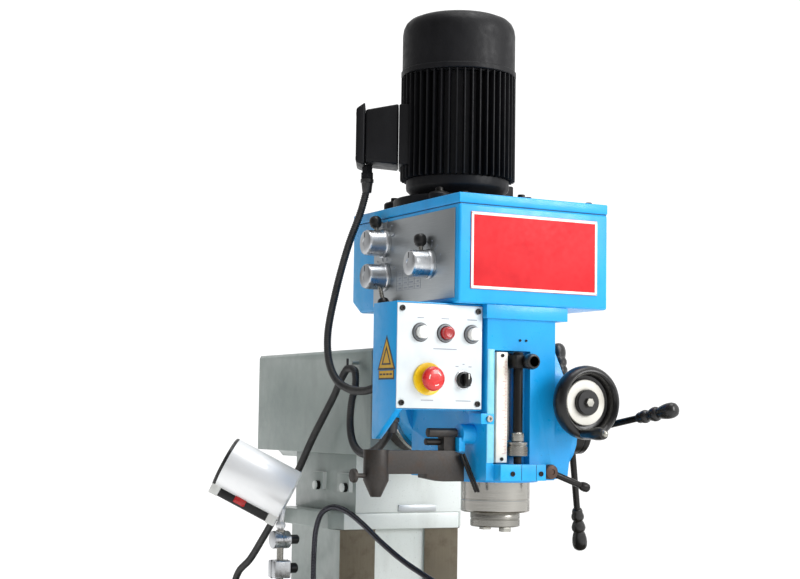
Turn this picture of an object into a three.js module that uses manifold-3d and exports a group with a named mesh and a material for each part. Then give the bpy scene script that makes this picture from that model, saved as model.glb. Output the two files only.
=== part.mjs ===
// A ram-type knee milling machine with a tilting vertical head.
// Millimetres, +Z up, the operator stands on the -Y side.
// The origin is the centre of the underside of the base.
import * as THREE from "three";
import { mergeVertices } from "three/addons/utils/BufferGeometryUtils.js";
import Module from "manifold-3d";

const wasm = await Module();
wasm.setup();

// Clearance left between neighbouring pieces.
const GAP = 0.3;

// Base and column.
const BASE_HALF_X = 260;
const BASE_HALF_Y = 440;
const BASE_HEIGHT = 110;
const COLUMN_FRONT_Y = 70;
const COLUMN_REAR_Y = 345;
const COLUMN_TOP_Z = 1060;
const WAY_HALF_X = 133;
const WAY_DEPTH = 28;
const RAM_SEAT_Z = 1204;

// Ram.
const RAM_HALF_X = 112;
const RAM_FRONT_Y = -12;
const RAM_REAR_Y = 566;
const RAM_TOP_Z = 1411;

// Swivel between the ram and the head.
const SWIVEL_Z = 1308;
const SWIVEL_RADIUS = 104;
const SWIVEL_FRONT_Y = -62;
const RING_FRONT_Y = -78;

// Head, quill and spindle.
const SPINDLE_Y = -290;
const HEAD_FRONT_Y = -390;
const HEAD_BOTTOM_Z = 1166;
const HEAD_TOP_Z = 1474.7;
const QUILL_RADIUS = 62;
const QUILL_BOTTOM_Z = 1112;
const NOSE_RADIUS = 44.5;
const NOSE_BOTTOM_Z = 1086;

// Gearbox on top of the head.
const GEARBOX_LEFT_X = -145;
const GEARBOX_RIGHT_X = 165;
const GEARBOX_FRONT_Y = -400;
const GEARBOX_REAR_Y = 10;
const GEARBOX_BOTTOM_Z = 1475;
const GEARBOX_TOP_Z = 1666;
const LID_THICKNESS = 18;

// Motor.
const MOTOR_Y = -140;
const MOTOR_RADIUS = 110;
const MOTOR_BASE_Z = 1690;
const MOTOR_COVER_Z = 1926;
const MOTOR_TOP_Z = 2045;
const FIN_COUNT = 28;

// Electrical control box.
const CONTROL_LEFT_X = -253;
const CONTROL_RIGHT_X = -86;
const CONTROL_FRONT_Y = -380;
const CONTROL_REAR_Y = -294;
const CONTROL_TOP_Z = 1474;
const CONTROL_BOTTOM_Z = 1291;
const LOCK_X = 47;
const LOCK_Z = 1186;
const TERMINAL_TURN = 0.49;
const HOSE_RADIUS = 5.6;
const BUTTON_X = [-208, -160, -107];
const BUTTON_Z = 1422;
const STOP_X = -194;
const STOP_Z = 1343;

// Quill feed.
const FEED_Y = -323;
const FEED_Z = 1252;
const FEED_LEVER_LENGTH = 236;
const FEED_LEVER_LEAN = 0.3;
const FINE_FEED_X = 94;
const FINE_FEED_Z = 1308;
const FINE_FEED_RADIUS = 65;

// Knee, saddle and table.
const KNEE_TOP_Z = 740;
const KNEE_BOTTOM_Z = 430;
const SADDLE_TOP_Z = 836;
const TABLE_TOP_Z = 915;
const TABLE_HALF_X = 500;
const TABLE_HALF_Y = 125;
const TABLE_Y = SPINDLE_Y;

const paint = (color) =>
  new THREE.MeshStandardMaterial({ color, roughness: 0.45, metalness: 0.1 });
const metal = (color, roughness) =>
  new THREE.MeshStandardMaterial({ color, roughness, metalness: 0.9 });
const plastic = (color) =>
  new THREE.MeshStandardMaterial({ color, roughness: 0.5, metalness: 0 });

const BLUE = paint(0x3f9fe0);
const WHITE_PAINT = paint(0xdfe4e0);
const GREY_PAINT = paint(0xaab2ad);
const MOTOR_BLACK = paint(0x17191b);
const PANEL_WHITE = plastic(0xe9eeee);
const BLACK = plastic(0x141414);
const RED = plastic(0xc81e1e);
const YELLOW = plastic(0xe8c020);
const WHITE_PLASTIC = plastic(0xf2f2ee);
const STEEL = metal(0xb9b9b4, 0.3);
const BRIGHT = metal(0xd4d4d0, 0.2);
const DARK_STEEL = metal(0x3b3a3a, 0.5);
const ALUMINIUM = metal(0xc4c7c9, 0.35);
const CAST = metal(0x5a564f, 0.7);

// ---- Geometry helpers -------------------------------------------------

// A rectangular block between two corners.
function block(x0, x1, y0, y1, z0, z1) {
  const box = new THREE.BoxGeometry(x1 - x0, y1 - y0, z1 - z0);
  return box.translate((x0 + x1) / 2, (y0 + y1) / 2, (z0 + z1) / 2);
}

// Turns a shape that stands along Z so that it lies along another axis.
function turned(geometry, axis) {
  if (axis === "x") {
    const cycle = new THREE.Matrix4();
    cycle.set(0, 0, 1, 0, 1, 0, 0, 0, 0, 1, 0, 0, 0, 0, 0, 1);
    return geometry.applyMatrix4(cycle);
  }
  if (axis === "y") {
    const cycle = new THREE.Matrix4();
    cycle.set(0, 1, 0, 0, 0, 0, 1, 0, 1, 0, 0, 0, 0, 0, 0, 1);
    return geometry.applyMatrix4(cycle);
  }
  return geometry;
}

// A turned profile of [radius, height] pairs standing on an axis.
// The centre is given by the two other coordinates, in X, Y, Z order.
function turnedProfile(axis, a, b, points, sides = 20) {
  const outline = points.map(([r, h]) => new THREE.Vector2(r, h));
  const first = points[0];
  const last = points[points.length - 1];
  if (first[0] > 0) outline.unshift(new THREE.Vector2(0, first[1]));
  if (last[0] > 0) outline.push(new THREE.Vector2(0, last[1]));
  const lathe = new THREE.LatheGeometry(outline, sides);
  lathe.rotateX(Math.PI / 2);
  turned(lathe, axis);
  if (axis === "x") return lathe.translate(0, a, b);
  if (axis === "y") return lathe.translate(a, 0, b);
  return lathe.translate(a, b, 0);
}

// A round bar between two heights on an axis.
function bar(axis, a, b, radius, from, to, sides = 20) {
  return turnedProfile(axis, a, b, [[radius, from], [radius, to]], sides);
}

// A closed ring with a rectangular section.
function ring(axis, a, b, inner, outer, from, to, sides = 24) {
  const outline = [
    [inner, from], [outer, from], [outer, to], [inner, to], [inner, from],
  ].map(([r, h]) => new THREE.Vector2(r, h));
  const lathe = new THREE.LatheGeometry(outline, sides);
  lathe.rotateX(Math.PI / 2);
  turned(lathe, axis);
  if (axis === "x") return lathe.translate(0, a, b);
  if (axis === "y") return lathe.translate(a, 0, b);
  return lathe.translate(a, b, 0);
}

// A flat outline pushed along an axis.
// The outline is (y, z) along X, (z, x) along Y and (x, y) along Z.
function slab(axis, points, from, to) {
  const shape = new THREE.Shape(points.map(([u, v]) => new THREE.Vector2(u, v)));
  const solid = new THREE.ExtrudeGeometry(shape, {
    depth: to - from,
    bevelEnabled: false,
    curveSegments: 8,
  });
  solid.translate(0, 0, from);
  return turned(solid, axis);
}

// A round bar between any two points.
function strut(start, end, radius, sides = 12) {
  const a = new THREE.Vector3(...start);
  const b = new THREE.Vector3(...end);
  const length = a.distanceTo(b);
  const body = turnedProfile("z", 0, 0, [[radius, 0], [radius, length]], sides);
  const turn = new THREE.Quaternion().setFromUnitVectors(
    new THREE.Vector3(0, 0, 1),
    b.clone().sub(a).normalize()
  );
  body.applyQuaternion(turn);
  return body.translate(a.x, a.y, a.z);
}

// A turned profile placed along a direction from a point.
function profileAlong(start, direction, points, sides = 14) {
  const body = turnedProfile("z", 0, 0, points, sides);
  const turn = new THREE.Quaternion().setFromUnitVectors(
    new THREE.Vector3(0, 0, 1),
    new THREE.Vector3(...direction).normalize()
  );
  body.applyQuaternion(turn);
  return body.translate(...start);
}

// A round tube that follows a smooth path.
function tube(points, radius, steps, sides = 10) {
  const path = new THREE.CatmullRomCurve3(
    points.map((p) => new THREE.Vector3(...p)), false, "centripetal"
  );
  const section = new THREE.Shape();
  for (let i = 0; i < sides; i += 1) {
    const angle = (i / sides) * 2 * Math.PI;
    const x = radius * Math.cos(angle);
    const y = radius * Math.sin(angle);
    if (i === 0) section.moveTo(x, y);
    else section.lineTo(x, y);
  }
  section.closePath();
  return new THREE.ExtrudeGeometry(section, {
    steps,
    bevelEnabled: false,
    extrudePath: path,
  });
}

// A closed surface as a solid, and back again.
function toSolid(geometry) {
  const plain = geometry.clone();
  plain.deleteAttribute("normal");
  plain.deleteAttribute("uv");
  const merged = mergeVertices(plain, 1e-4);
  return new wasm.Manifold(
    new wasm.Mesh({
      numProp: 3,
      vertProperties: new Float32Array(merged.attributes.position.array),
      triVerts: new Uint32Array(merged.index.array),
    })
  );
}

function toSurface(solid) {
  const mesh = solid.getMesh();
  const surface = new THREE.BufferGeometry();
  surface.setAttribute("position", new THREE.BufferAttribute(mesh.vertProperties, 3));
  surface.setIndex(new THREE.BufferAttribute(mesh.triVerts, 1));
  surface.computeVertexNormals();
  return surface;
}

function join(...pieces) {
  return toSurface(pieces.map(toSolid).reduce((all, next) => all.add(next)));
}

function cut(body, ...tools) {
  return toSurface(tools.map(toSolid).reduce((all, next) => all.subtract(next), toSolid(body)));
}

// Puts a shape drawn in machine coordinates into its own frame at a pivot.
function piece(name, geometry, material, pivot = [0, 0, 0]) {
  geometry.translate(-pivot[0], -pivot[1], -pivot[2]);
  const mesh = new THREE.Mesh(geometry, material);
  mesh.name = name;
  mesh.position.set(...pivot);
  return mesh;
}

// ---- Base, column and ram ---------------------------------------------

function base() {
  const foot = slab("z", [
    [-BASE_HALF_X, -BASE_HALF_Y + 40], [-BASE_HALF_X + 40, -BASE_HALF_Y],
    [BASE_HALF_X - 40, -BASE_HALF_Y], [BASE_HALF_X, -BASE_HALF_Y + 40],
    [BASE_HALF_X, BASE_HALF_Y - 40], [BASE_HALF_X - 40, BASE_HALF_Y],
    [-BASE_HALF_X + 40, BASE_HALF_Y], [-BASE_HALF_X, BASE_HALF_Y - 40],
  ], 0, BASE_HEIGHT);
  const tray = block(-220, 220, -400, 10, BASE_HEIGHT - 25, BASE_HEIGHT + 5);
  const post = bar("z", 0, -190, 48, BASE_HEIGHT - 30, 200);
  const screwHole = bar("z", 0, -190, 23.3, BASE_HEIGHT - 26, 210);
  const bolts = [[-215, -395], [215, -395], [-215, 395], [215, 395]].map(
    ([x, y]) => bar("z", x, y, 13, -5, BASE_HEIGHT + 5, 12)
  );
  return cut(join(cut(foot, tray), post), screwHole, ...bolts);
}

function column() {
  const sides = slab("x", [
    [COLUMN_FRONT_Y + 10, BASE_HEIGHT + GAP], [COLUMN_REAR_Y + 70, BASE_HEIGHT + GAP],
    [COLUMN_REAR_Y + 40, 420], [COLUMN_REAR_Y, 800],
    [COLUMN_REAR_Y, COLUMN_TOP_Z], [COLUMN_FRONT_Y + 10, COLUMN_TOP_Z],
  ], -112, 112);
  const skirt = slab("z", [
    [-175, COLUMN_FRONT_Y], [175, COLUMN_FRONT_Y],
    [175, COLUMN_REAR_Y + 75], [-175, COLUMN_REAR_Y + 75],
  ], BASE_HEIGHT + GAP, 170);
  const leftWay = block(-WAY_HALF_X, -55, COLUMN_FRONT_Y, COLUMN_FRONT_Y + WAY_DEPTH, 169, 1059);
  const rightWay = block(55, WAY_HALF_X, COLUMN_FRONT_Y, COLUMN_FRONT_Y + WAY_DEPTH, 169, 1059);
  const web = block(-56, 56, COLUMN_FRONT_Y + 6, COLUMN_FRONT_Y + WAY_DEPTH, 169, 1059);
  const cap = slab("z", [
    [-150, COLUMN_FRONT_Y + 20], [-128, COLUMN_FRONT_Y - 8],
    [128, COLUMN_FRONT_Y - 8], [150, COLUMN_FRONT_Y + 20],
    [150, COLUMN_REAR_Y], [-150, COLUMN_REAR_Y],
  ], 1058, 1090);
  return join(sides, skirt, leftWay, rightWay, web, cap);
}

function ramSeat() {
  const body = block(-104, 134, COLUMN_FRONT_Y - 8, COLUMN_REAR_Y, 1090 + GAP, 1190);
  const rails = block(-104, 104, COLUMN_FRONT_Y - 8, COLUMN_REAR_Y, 1189, RAM_SEAT_Z);
  const padFront = block(-113, -103, 76, 128, 1130, 1166);
  const padRear = block(-113, -103, 196, 252, 1130, 1166);
  const screwFront = bar("x", 88, 1139, 9, -124, -112, 10);
  const screwRear = bar("x", 214, 1139, 9, -124, -112, 10);
  const groove = slab("y", [
    [1190, -48], [1190, 48], [1206, 62], [1206, -62],
  ], 0, 500);
  const solid = join(body, rails, padFront, padRear, screwFront, screwRear);
  return cut(solid, groove);
}

function electricalCabinet() {
  const front = COLUMN_REAR_Y + 42;
  const body = block(-165, 165, front, front + 225, 430, 880);
  const topFoot = block(-60, 60, COLUMN_REAR_Y + GAP, front + 2, 840, 872);
  const door = block(-156, 156, front + 224, front + 230, 440, 870);
  return join(body, topFoot, door);
}

function ram() {
  const r = 34;
  const section = [[RAM_SEAT_Z + GAP, -RAM_HALF_X], [RAM_TOP_Z - 6, -RAM_HALF_X],
    [RAM_TOP_Z, -RAM_HALF_X + 6], [RAM_TOP_Z, RAM_HALF_X - 6],
    [RAM_TOP_Z - 6, RAM_HALF_X], [RAM_SEAT_Z + GAP, RAM_HALF_X]];
  const body = slab("y", section, RAM_FRONT_Y, RAM_REAR_Y);
  const tail = slab("z", [
    [-RAM_HALF_X - 5, RAM_REAR_Y - r], [-RAM_HALF_X + r, RAM_REAR_Y + 5],
    [-RAM_HALF_X - 5, RAM_REAR_Y + 5],
  ], 1100, 1500);
  const tailRight = slab("z", [
    [RAM_HALF_X + 5, RAM_REAR_Y - r], [RAM_HALF_X + 5, RAM_REAR_Y + 5],
    [RAM_HALF_X - r, RAM_REAR_Y + 5],
  ], 1100, 1500);
  const tongue = slab("y", [
    [1190 + GAP, -47], [1190 + GAP, 47], [1205, 60.5], [1205, -60.5],
  ], RAM_FRONT_Y + 20, RAM_REAR_Y - 20);
  const hook = strut([-RAM_HALF_X + 4, 44, 1383], [-RAM_HALF_X - 14, 44, 1383], 4, 10);
  return join(cut(body, tail, tailRight), tongue, hook);
}

function swivelFlange() {
  const disc = turnedProfile("y", 0, SWIVEL_Z, [
    [SWIVEL_RADIUS - 2, SWIVEL_FRONT_Y], [SWIVEL_RADIUS, SWIVEL_FRONT_Y + 2],
    [SWIVEL_RADIUS, RAM_FRONT_Y - 12 - GAP], [90, RAM_FRONT_Y - GAP],
  ], 28);
  return disc;
}

function degreeRing() {
  return ring("y", 0, SWIVEL_Z, 60, SWIVEL_RADIUS, RING_FRONT_Y, SWIVEL_FRONT_Y - GAP, 28);
}

// ---- Knee, saddle and table -------------------------------------------

function elevatingScrew() {
  return turnedProfile("z", 0, -190, [
    [22, BASE_HEIGHT - 25], [22, 490],
  ], 16);
}

function knee() {
  const body = slab("x", [
    [COLUMN_FRONT_Y - GAP, KNEE_BOTTOM_Z], [COLUMN_FRONT_Y - GAP, KNEE_TOP_Z],
    [-400, KNEE_TOP_Z], [-400, 600], [-330, 470], [-250, KNEE_BOTTOM_Z],
  ], -120, 120);
  const jawPoints = (s) => [
    [s * 119, 40], [s * 160, 40], [s * 160, 122], [s * 114, 122],
    [s * 114, COLUMN_FRONT_Y + WAY_DEPTH + GAP],
    [s * (WAY_HALF_X + GAP), COLUMN_FRONT_Y + WAY_DEPTH + GAP],
    [s * (WAY_HALF_X + GAP), COLUMN_FRONT_Y - GAP], [s * 119, COLUMN_FRONT_Y - GAP],
  ];
  const leftJaw = slab("z", jawPoints(-1), KNEE_BOTTOM_Z, KNEE_TOP_Z);
  const rightJaw = slab("z", jawPoints(1), KNEE_BOTTOM_Z, KNEE_TOP_Z);
  const well = block(-70, 70, -260, -40, KNEE_BOTTOM_Z - 5, KNEE_TOP_Z - 25);
  const crankBoss = bar("y", -75, 490, 30, -398, -300);
  const bossCut = cut(join(body, crankBoss), well);
  const crankHole = bar("y", -75, 490, 12.5, -410, -340, 20);
  const screwHole = bar("y", 0, 668, 14.5, -410, -320, 20);
  return cut(join(bossCut, leftJaw, rightJaw), crankHole, screwHole);
}

function saddle() {
  const body = block(-150, 150, TABLE_Y - 130, TABLE_Y + 130, KNEE_TOP_Z + GAP, 806);
  const guides = slab("x", [
    [TABLE_Y - 95, 805], [TABLE_Y + 95, 805],
    [TABLE_Y + 75, SADDLE_TOP_Z], [TABLE_Y - 75, SADDLE_TOP_Z],
  ], -150, 150);
  const sideLeft = block(-150, -120 - GAP, TABLE_Y - 130, TABLE_Y + 130, 700, 745);
  const sideRight = block(120 + GAP, 150, TABLE_Y - 130, TABLE_Y + 130, 700, 745);
  const lockBar = bar("x", TABLE_Y - 115, 722, 6, 149, 178, 10);
  return join(body, guides, sideLeft, sideRight, lockBar);
}

function table() {
  const y = TABLE_Y;
  const top = TABLE_TOP_Z;
  const half = TABLE_HALF_Y;
  const slots = [-62.5, 0, 62.5].flatMap((c) => [
    [y + c - 7, top], [y + c - 7, top - 13], [y + c - 12, top - 13],
    [y + c - 12, top - 23], [y + c + 12, top - 23], [y + c + 12, top - 13],
    [y + c + 7, top - 13], [y + c + 7, top],
  ]);
  const outline = [
    [y - half, top], ...slots, [y + half, top], [y + half, top - 42],
    [y + 104, top - 52], [y + 104, 806 + GAP], [y + 95 + GAP, 806 + GAP],
    [y + 75 + GAP, SADDLE_TOP_Z + GAP], [y + 18, SADDLE_TOP_Z + GAP],
    [y + 18, SADDLE_TOP_Z + 36], [y - 18, SADDLE_TOP_Z + 36],
    [y - 18, SADDLE_TOP_Z + GAP], [y - 75 - GAP, SADDLE_TOP_Z + GAP],
    [y - 95 - GAP, 806 + GAP], [y - 104, 806 + GAP],
    [y - 104, top - 52], [y - half, top - 42],
  ];
  const body = slab("x", outline, -TABLE_HALF_X, TABLE_HALF_X);
  const ends = [-1, 1].map((s) => {
    const plate = block(
      Math.min(s * 499, s * 524), Math.max(s * 499, s * 524), y - 70, y + 70, 812, 888
    );
    const bore = bar("x", y, 852, 11.3, Math.min(s * 490, s * 530), Math.max(s * 490, s * 530), 14);
    return cut(plate, bore);
  });
  return join(body, ...ends);
}

function tableScrew() {
  return bar("x", TABLE_Y, 852, 11, -556, 556, 14);
}

// A rimmed handwheel with three spokes and a turning handle.
// It is drawn around the Z axis and faces +Z.
function handwheelShape(radius, boreRadius) {
  const rim = ring("z", 0, 0, radius - 15, radius, -8, 8, 24);
  const hub = ring("z", 0, 0, boreRadius, 24, -14, 14, 16);
  const spokes = [0, 1, 2].map((i) => {
    const spoke = block(20, radius - 10, -9, 9, -5, 5);
    return spoke.rotateZ((i * 2 * Math.PI) / 3);
  });
  const handle = turnedProfile("z", radius - 9, 0, [
    [5, 0], [5, 14], [10, 17], [12, 45], [9, 72], [4, 76],
  ], 10);
  return join(rim, hub, ...spokes, handle);
}

function tableHandwheel(side) {
  const wheel = handwheelShape(78, 11 + GAP);
  turned(wheel, "x");
  if (side < 0) wheel.rotateZ(Math.PI);
  return wheel.translate(side * 540.5, TABLE_Y, 852);
}

function saddleHandwheel() {
  const wheel = handwheelShape(70, 8);
  wheel.rotateX(Math.PI / 2);
  wheel.translate(0, -436, 668);
  const shaft = bar("y", 0, 668, 13, -440, -325, 14);
  return join(wheel, shaft);
}

function kneeCrank() {
  const shaft = bar("y", -75, 490, 11, -452, -345, 14);
  const arm = block(-88, -62, -452, -436, 400, 504);
  const handle = turnedProfile("y", -75, 408, [
    [4, -540], [11, -534], [13, -490], [8, -458], [6, -455], [6, -448],
  ], 12);
  return join(shaft, arm, handle);
}

// ---- Head --------------------------------------------------------------

function headBody() {
  const s = SPINDLE_Y;
  const frontBlock = block(-80, 60, HEAD_FRONT_Y, -120, HEAD_BOTTOM_Z + 5, 1452);
  const flange = block(-85, 82, HEAD_FRONT_Y - 6, -100, 1451, HEAD_TOP_Z);
  const neck = bar("y", 0, SWIVEL_Z, 96, -122, RING_FRONT_Y - GAP, 28);
  const collar = bar("z", 0, s, 76, HEAD_BOTTOM_Z, 1236, 24);
  const feedCase = bar("x", FEED_Y, FEED_Z, 62, 40, 112, 20);
  const wormCase = bar("y", FINE_FEED_X - 6, FINE_FEED_Z, 30, -388, -330, 16);
  const gusset = slab("y", [
    [1171.5, 55], [1176, 92], [1252, 102], [1330, 94], [1400, 62], [1400, 55],
  ], -384, -262);
  const boss = bar("x", -340, 1250, 18, -106, -70, 16);
  const bossEnd = block(-112, -100, -352, -326, 1220, 1244);
  const bossCap = block(-92, -60, -392, -350, 1268, 1286);
  const lip = block(-64, 28, HEAD_FRONT_Y - 22, HEAD_FRONT_Y + 2, HEAD_BOTTOM_Z + 5, 1199);
  const solid = join(
    frontBlock, flange, neck, collar, feedCase, wormCase, gusset,
    boss, bossEnd, bossCap, lip
  );
  const bore = bar("z", 0, s, QUILL_RADIUS + GAP, 1100, 1420, 28);
  const recess = block(-66, 8, HEAD_FRONT_Y - 5, HEAD_FRONT_Y + 18, 1199.2, 1396);
  const slot = block(-28, -8, HEAD_FRONT_Y - 5, s, 1240, 1392);
  const feedBore = bar("x", FEED_Y, FEED_Z, 17, 70, 120, 16);
  const lockBore = bar("y", LOCK_X, LOCK_Z, 8 + GAP, -400, -350, 12);
  return cut(solid, bore, recess, slot, feedBore, lockBore);
}

function gearbox() {
  const shell = slab("x", [
    [GEARBOX_FRONT_Y, GEARBOX_BOTTOM_Z], [GEARBOX_REAR_Y - 34, GEARBOX_BOTTOM_Z],
    [GEARBOX_REAR_Y, GEARBOX_BOTTOM_Z + 22],
    [GEARBOX_REAR_Y, GEARBOX_TOP_Z - LID_THICKNESS],
    [GEARBOX_FRONT_Y, GEARBOX_TOP_Z - LID_THICKNESS],
  ], GEARBOX_LEFT_X, GEARBOX_RIGHT_X);
  return shell;
}

function gearboxLid() {
  return block(
    GEARBOX_LEFT_X, GEARBOX_RIGHT_X, GEARBOX_FRONT_Y, GEARBOX_REAR_Y,
    GEARBOX_TOP_Z - LID_THICKNESS + GAP, GEARBOX_TOP_Z
  );
}

function badgePlate() {
  return block(-122, 141, GEARBOX_FRONT_Y - 2.5, GEARBOX_FRONT_Y - GAP, 1500, 1634);
}

function selectorPlate() {
  return block(GEARBOX_LEFT_X - 2.5, GEARBOX_LEFT_X - GAP, -388, -84, 1484, 1640);
}

// A tapered selector knob on the left face with a short grip on its rim.
function speedKnob(y, z, angle, reach) {
  const face = GEARBOX_LEFT_X - 2.5 - GAP;
  const hub = turnedProfile("x", y, z, [
    [20, face - 42], [23, face - 39], [25, face - 8], [27, face - 6], [27, face],
  ], 18);
  const dir = [0, Math.sin(angle), Math.cos(angle)];
  const from = [face - 14, y + dir[1] * 12, z + dir[2] * 12];
  const stem = profileAlong(from, dir, [[4, 0], [4, reach]], 12);
  const gripStart = from.map((v, i) => v + dir[i] * (reach - 2));
  const grip = profileAlong(gripStart, dir, [
    [6, 0], [10, 4], [11, 16], [8, 22],
  ], 12);
  return join(hub, stem, grip);
}

function motorFlange() {
  const r = 122;
  const plate = bar("z", 0, MOTOR_Y, r, GEARBOX_TOP_Z + GAP, MOTOR_BASE_Z - GAP, 24);
  const ears = [45, 135, 225, 315].map((deg) => {
    const a = (deg * Math.PI) / 180;
    return bar(
      "z", (r + 3) * Math.cos(a), MOTOR_Y + (r + 3) * Math.sin(a), 20,
      GEARBOX_TOP_Z + GAP, MOTOR_BASE_Z - GAP, 18
    );
  });
  return join(plate, ...ears);
}

// Turns a shape drawn on the motor's left side to where the terminal box sits.
function turnedOnMotor(geometry) {
  geometry.translate(0, -MOTOR_Y, 0);
  geometry.rotateZ(-TERMINAL_TURN);
  return geometry.translate(0, MOTOR_Y, 0);
}

function motorBody() {
  const outline = [];
  for (let i = 0; i < FIN_COUNT; i += 1) {
    const pitch = (2 * Math.PI) / FIN_COUNT;
    const corners = [[-0.34, 92], [-0.2, MOTOR_RADIUS], [0.2, MOTOR_RADIUS], [0.34, 92]];
    corners.forEach(([t, r]) => {
      const a = (i + t) * pitch;
      outline.push([r * Math.cos(a), MOTOR_Y + r * Math.sin(a)]);
    });
  }
  const fins = slab("z", outline, 1726, MOTOR_COVER_Z - GAP);
  const bell = turnedProfile("z", 0, MOTOR_Y, [
    [84, MOTOR_BASE_Z], [92, 1700], [98, 1706], [98, 1727],
  ], 24);
  const pad = turnedOnMotor(block(-113, -80, MOTOR_Y - 50, MOTOR_Y + 50, 1752, 1866));
  const lug = block(88, 118, MOTOR_Y - 14, MOTOR_Y + 14, 1700, 1726);
  const shelf = block(60, 100, MOTOR_Y - 14, MOTOR_Y + 14, 1704, 1724);
  return join(fins, bell, pad, lug, shelf);
}

function fanCover() {
  return turnedProfile("z", 0, MOTOR_Y, [
    [109, MOTOR_COVER_Z], [110, MOTOR_COVER_Z + 8], [109, MOTOR_TOP_Z - 36],
    [104, MOTOR_TOP_Z - 21], [88, MOTOR_TOP_Z - 8], [60, MOTOR_TOP_Z],
  ], 28);
}

function terminalBox() {
  const y = MOTOR_Y;
  const body = slab("y", [
    [1750, -113 - GAP], [1868, -113 - GAP], [1868, -150], [1856, -188],
    [1844, -194], [1762, -194], [1752, -186],
  ], y - 46, y + 46);
  const gland = bar("z", -172, y, 13, 1730, 1756, 12);
  return turnedOnMotor(join(body, gland));
}

// ---- Control box -------------------------------------------------------

function controlBox() {
  const shell = block(
    CONTROL_LEFT_X, CONTROL_RIGHT_X, CONTROL_FRONT_Y, CONTROL_REAR_Y,
    CONTROL_BOTTOM_Z, CONTROL_TOP_Z
  );
  const cheek = slab("x", [
    [CONTROL_FRONT_Y, CONTROL_BOTTOM_Z - 1], [CONTROL_FRONT_Y, CONTROL_BOTTOM_Z + 8],
    [CONTROL_REAR_Y, CONTROL_BOTTOM_Z + 8], [CONTROL_REAR_Y, 1240],
    [CONTROL_REAR_Y - 14, 1240],
  ], CONTROL_LEFT_X, CONTROL_LEFT_X + 12);
  const gland = bar("z", -222, -310, 13, 1277, 1292, 12);
  return join(shell, cheek, gland);
}

function controlPanel() {
  const plate = block(
    CONTROL_LEFT_X, CONTROL_RIGHT_X, CONTROL_FRONT_Y - 4, CONTROL_FRONT_Y - GAP,
    CONTROL_BOTTOM_Z + 2, CONTROL_TOP_Z - 3
  );
  const screws = [[-244, 1302], [-244, 1462], [-95, 1302], [-95, 1462]].map(
    ([x, z]) => bar("y", x, z, 5, -387, -383, 10)
  );
  const bezels = BUTTON_X.map((x) => bar("y", x, BUTTON_Z, 14.5, -389, -383, 20));
  const buttonHoles = BUTTON_X.map((x) => bar("y", x, BUTTON_Z, 11.6, -395, -375, 20));
  const stopHole = bar("y", STOP_X, STOP_Z, 11, -395, -375, 20);
  return cut(join(plate, ...screws, ...bezels), ...buttonHoles, stopHole);
}

function pushButton(x) {
  return turnedProfile("y", x, BUTTON_Z, [
    [10, -399], [11, -397], [11, -384 - GAP],
  ], 16);
}

function stopCollar() {
  return ring("y", STOP_X, STOP_Z, 12, 30, -388, -384 - GAP, 18);
}

function emergencyStop() {
  return turnedProfile("y", STOP_X, STOP_Z, [
    [14, -412], [19, -408], [20, -403], [18, -397], [10, -393], [10, -384 - GAP],
  ], 18);
}

function selectorSwitch() {
  const bezel = turnedProfile("y", -123, 1343, [
    [13.5, -390], [14.5, -389], [14.5, -384 - GAP],
  ], 16);
  const handle = block(-127, -119, -402, -389, 1331, 1355);
  return join(bezel, handle);
}

// ---- Spindle, quill and its stop ---------------------------------------

function quill() {
  const body = turnedProfile("z", 0, SPINDLE_Y, [
    [QUILL_RADIUS - 3, QUILL_BOTTOM_Z], [QUILL_RADIUS, QUILL_BOTTOM_Z + 3],
    [QUILL_RADIUS, 1408],
  ], 28);
  const bore = bar("z", 0, SPINDLE_Y, 30, 1100, 1420, 18);
  return cut(body, bore);
}

function spindle() {
  const nose = turnedProfile("z", 0, SPINDLE_Y, [
    [NOSE_RADIUS, NOSE_BOTTOM_Z], [NOSE_RADIUS, QUILL_BOTTOM_Z - GAP],
    [28.5, QUILL_BOTTOM_Z - GAP], [28.5, 1400],
  ], 24);
  const taper = turnedProfile("z", 0, SPINDLE_Y, [
    [22.2, NOSE_BOTTOM_Z - 1], [12.5, 1160],
  ], 18);
  const keys = [-1, 1].map((s) =>
    block(-8, 8, SPINDLE_Y + s * 34 - 8, SPINDLE_Y + s * 34 + 8, NOSE_BOTTOM_Z - 8, NOSE_BOTTOM_Z + 2)
  );
  return join(cut(nose, taper), ...keys);
}

function depthScale() {
  return block(-62, -40, HEAD_FRONT_Y - 3, HEAD_FRONT_Y + 18 - GAP, 1202, 1393);
}

function depthStopRod() {
  return turnedProfile("z", -18, -392, [
    [7, 1199.5], [7, 1212], [11, 1213], [11, 1254], [8.5, 1256], [8.5, 1394],
  ], 12);
}

function stopNut() {
  return ring("z", -18, -392, 11 + GAP, 18, 1213, 1238, 14);
}

function quillStopKnob() {
  const yoke = block(-34, -2, -412, -373, 1366, 1388);
  const hole = bar("z", -18, -392, 9.2, 1360, 1395, 12);
  const stem = bar("y", -18, 1377, 7, -375, SPINDLE_Y - QUILL_RADIUS - GAP, 12);
  const head = turnedProfile("y", -10, 1377, [
    [10, -432], [13, -429], [14, -414], [10, -411],
  ], 12);
  return join(cut(yoke, hole), stem, head);
}

// ---- Quill feed ---------------------------------------------------------

function feedHub() {
  return turnedProfile("x", FEED_Y, FEED_Z, [
    [16, 80], [16, 112 + GAP], [34, 112 + GAP], [36, 118], [36, 160], [26, 168],
  ], 18);
}

function feedDirection(index) {
  const a = 2.303 - (index * 2 * Math.PI) / 3;
  const flat = Math.cos(FEED_LEVER_LEAN);
  return [Math.sin(FEED_LEVER_LEAN), -flat * Math.cos(a), flat * Math.sin(a)];
}

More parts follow.
